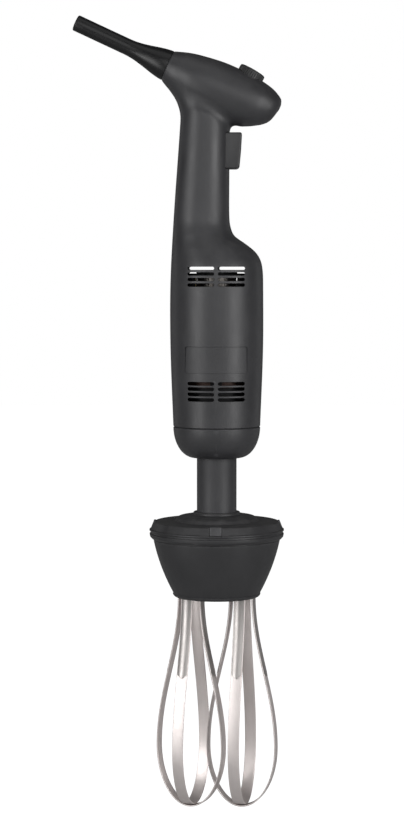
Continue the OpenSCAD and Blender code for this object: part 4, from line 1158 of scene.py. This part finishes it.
surface(
    "brass", (0.62, 0.46, 0.2), (0.25, 0.4), metal=1.0, shade=0.12, blotch=90, depth=0.015)
# Painted shade: the windings get a near-black brown, far darker than copper, so that the motor's
# inside reads dark through the vents.
surface(
    "copper", (0.03, 0.012, 0.007), (0.45, 0.6), metal=0.5, shade=0.25, grain=1100, depth=0.2,
    stretch=(0.35, 0.35, 1.0))
surface(
    "commutator_metal", (0.16, 0.15, 0.14), (0.35, 0.5), metal=1.0, shade=0.3, blotch=140,
    grain=1500, depth=0.03, stretch=(0.1, 0.1, 1.0))
surface(
    "zinc", (0.42, 0.42, 0.44), (0.35, 0.5), metal=1.0, shade=0.18, blotch=160, depth=0.03)
surface(
    "carbon", (0.03, 0.03, 0.03), (0.5, 0.65), metal=0.2, shade=0.2, depth=0.05)
surface(
    "nylon", (0.7, 0.68, 0.6), (0.35, 0.5), shade=0.06, depth=0.02)
surface(
    "board", (0.03, 0.13, 0.06), (0.35, 0.5), shade=0.15, grain=900, depth=0.05,
    stretch=(1, 1, 0.2), coat=0.4)
surface(
    "switch_plastic", (0.03, 0.03, 0.032), (0.35, 0.5), depth=0.03)
surface(
    "plunger_plastic", (0.35, 0.03, 0.02), (0.3, 0.42), shade=0.1, depth=0.02)
surface(
    "wire_insulation", (0.3, 0.03, 0.02), (0.35, 0.5), shade=0.12, depth=0.02)
surface(
    "bracket_plastic", (0.005, 0.005, 0.0055), (0.6, 0.7), depth=0.05, specular=0.2)


def dress(piece, look):
    """Gives a piece one of the looks."""
    piece.data.materials.clear()
    piece.data.materials.append(LOOKS[look])


def fit(piece, body, slot_name, *nodes):
    """Gives a piece its finish, its body and the CAD nodes that it stands for."""
    dress(piece, slot_name)
    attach(piece, body)
    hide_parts(*nodes)
    return piece


def dress_nodes():
    """A node material on each CAD node, by its material slot."""
    for row in frame["record"]["subparts"]:
        dress(frame["nodes"][row["node"]], row["material_slot"])


dress_nodes()

case_left, case_right, plate = make_case()
fit(case_left, "root", "case_plastic", "housing_left")
fit(case_right, "root", "case_plastic", "housing_right")
fit(plate, "root", "label_plastic", "label_plate")
fit(make_nose(), "root", "nose_plastic", "nose_cap")
fit(make_stem(), "root", "stem_plastic", "stem_tube")
fit(make_cover(), "root", "gearbox_plastic", "gearbox_cover")
fit(make_clips(), "root", "clip_plastic", "cover_clips")
fit(make_gearbox(), "root", "gearbox_plastic", "gearbox_body")
fit(make_boot(), "root", "boot_rubber", "cord_boot")
fit(make_dial(), "dial_unit", "dial_plastic", "speed_dial")
fit(make_trigger(), "trigger_unit", "trigger_plastic", "trigger")
for part, x, turn in (("left", -SPINDLE_X, LEFT_TURN), ("right", SPINDLE_X, RIGHT_TURN)):
    body = part + "_whisk"
    fit(make_hub("hub_" + part, x, turn), body, "hub_steel", "whisk_hub_" + part)
    fingers = make_fingers("fingers_" + part, x, turn)
    fit(fingers, body, "finger_steel", "whisk_fingers_" + part)
    for letter, quarter, depth in (("a", 0.0, 0.0), ("b", pi / 2, LOOP_STEP)):
        loop = make_loop(f"loop_{letter}_{part}", x, turn + quarter, depth)
        fit(loop, body, "whisk_steel", f"whisk_loop_{letter}_{part}")


# ---------------------------------------------------------------- studio
LIT_POINT = Vector((0, 0, 0.03))


def softbox(name, at, width, height, power):
    """A rectangular light that faces the mixer and isn't seen by the camera."""
    light = bpy.data.lights.new(name, "AREA")
    light.shape = "RECTANGLE"
    light.size = width
    light.size_y = height
    light.energy = power
    lamp = bpy.data.objects.new(name, light)
    lamp.location = at
    lamp.rotation_euler = (LIT_POINT - Vector(at)).to_track_quat("-Z", "Y").to_euler()
    lamp.visible_camera = False
    bpy.context.collection.objects.link(lamp)


def make_studio():
    """Soft lights, a backdrop that is white to the camera and dim to the part, and a floor."""
    softbox("key_left", (-1.2, -1.1, 0.2), 0.6, 1.5, 17)
    softbox("key_right", (1.2, -1.1, 0.2), 0.6, 1.5, 19)
    softbox("front", (0.15, -2.2, 0.75), 1.5, 1.5, 13)
    softbox("top", (0, -0.5, 1.5), 1.2, 1.0, 3)
    softbox("back_left", (-1.3, 1.0, 0.1), 0.4, 1.4, 1.2)
    softbox("back_right", (1.3, 1.0, 0.1), 0.4, 1.4, 1.2)

    world = bpy.data.worlds.new("studio")
    world.use_nodes = True
    tree = world.node_tree
    seen = add(tree, "LightPath").outputs["Is Camera Ray"]
    shade = blend_colors(tree, seen, (0.075, 0.075, 0.076), (1.0, 1.0, 1.0))
    tree.links.new(shade, tree.nodes["Background"].inputs["Color"])
    bpy.context.scene.world = world

    bm = bmesh.new()
    bmesh.ops.create_circle(bm, cap_ends=True, radius=6.0, segments=96)
    floor = put(bm, "floor")
    floor.data.transform(Matrix.Translation((0, 0, HUB_TOP - WHISK_LEN - PULL_OUT - 2 * MM)))
    mat = bpy.data.materials.new("pale_floor")
    mat.use_nodes = True
    tree = mat.node_tree
    shader = tree.nodes["Principled BSDF"]
    coord = add(tree, "TexCoord").outputs["Object"]
    mottle = noise(tree, coord, 6.0, 3.0)
    pale = blend_colors(tree, mottle, (0.4, 0.4, 0.398), (0.44, 0.44, 0.44))
    tree.links.new(pale, shader.inputs["Base Color"])
    seen = add(tree, "LightPath").outputs["Is Camera Ray"]
    tree.links.new(remap(tree, seen, 0.0, 1.0, 0.1, 0.97), shader.inputs["Emission Strength"])
    shader.inputs["Emission Color"].default_value = (1, 1, 1, 1)
    shader.inputs["Roughness"].default_value = 0.7
    shader.inputs["Specular IOR Level"].default_value = 0.2
    floor.data.materials.append(mat)

    scene = bpy.context.scene
    scene.view_settings.view_transform = "Standard"
    scene.view_settings.look = "None"


make_studio()
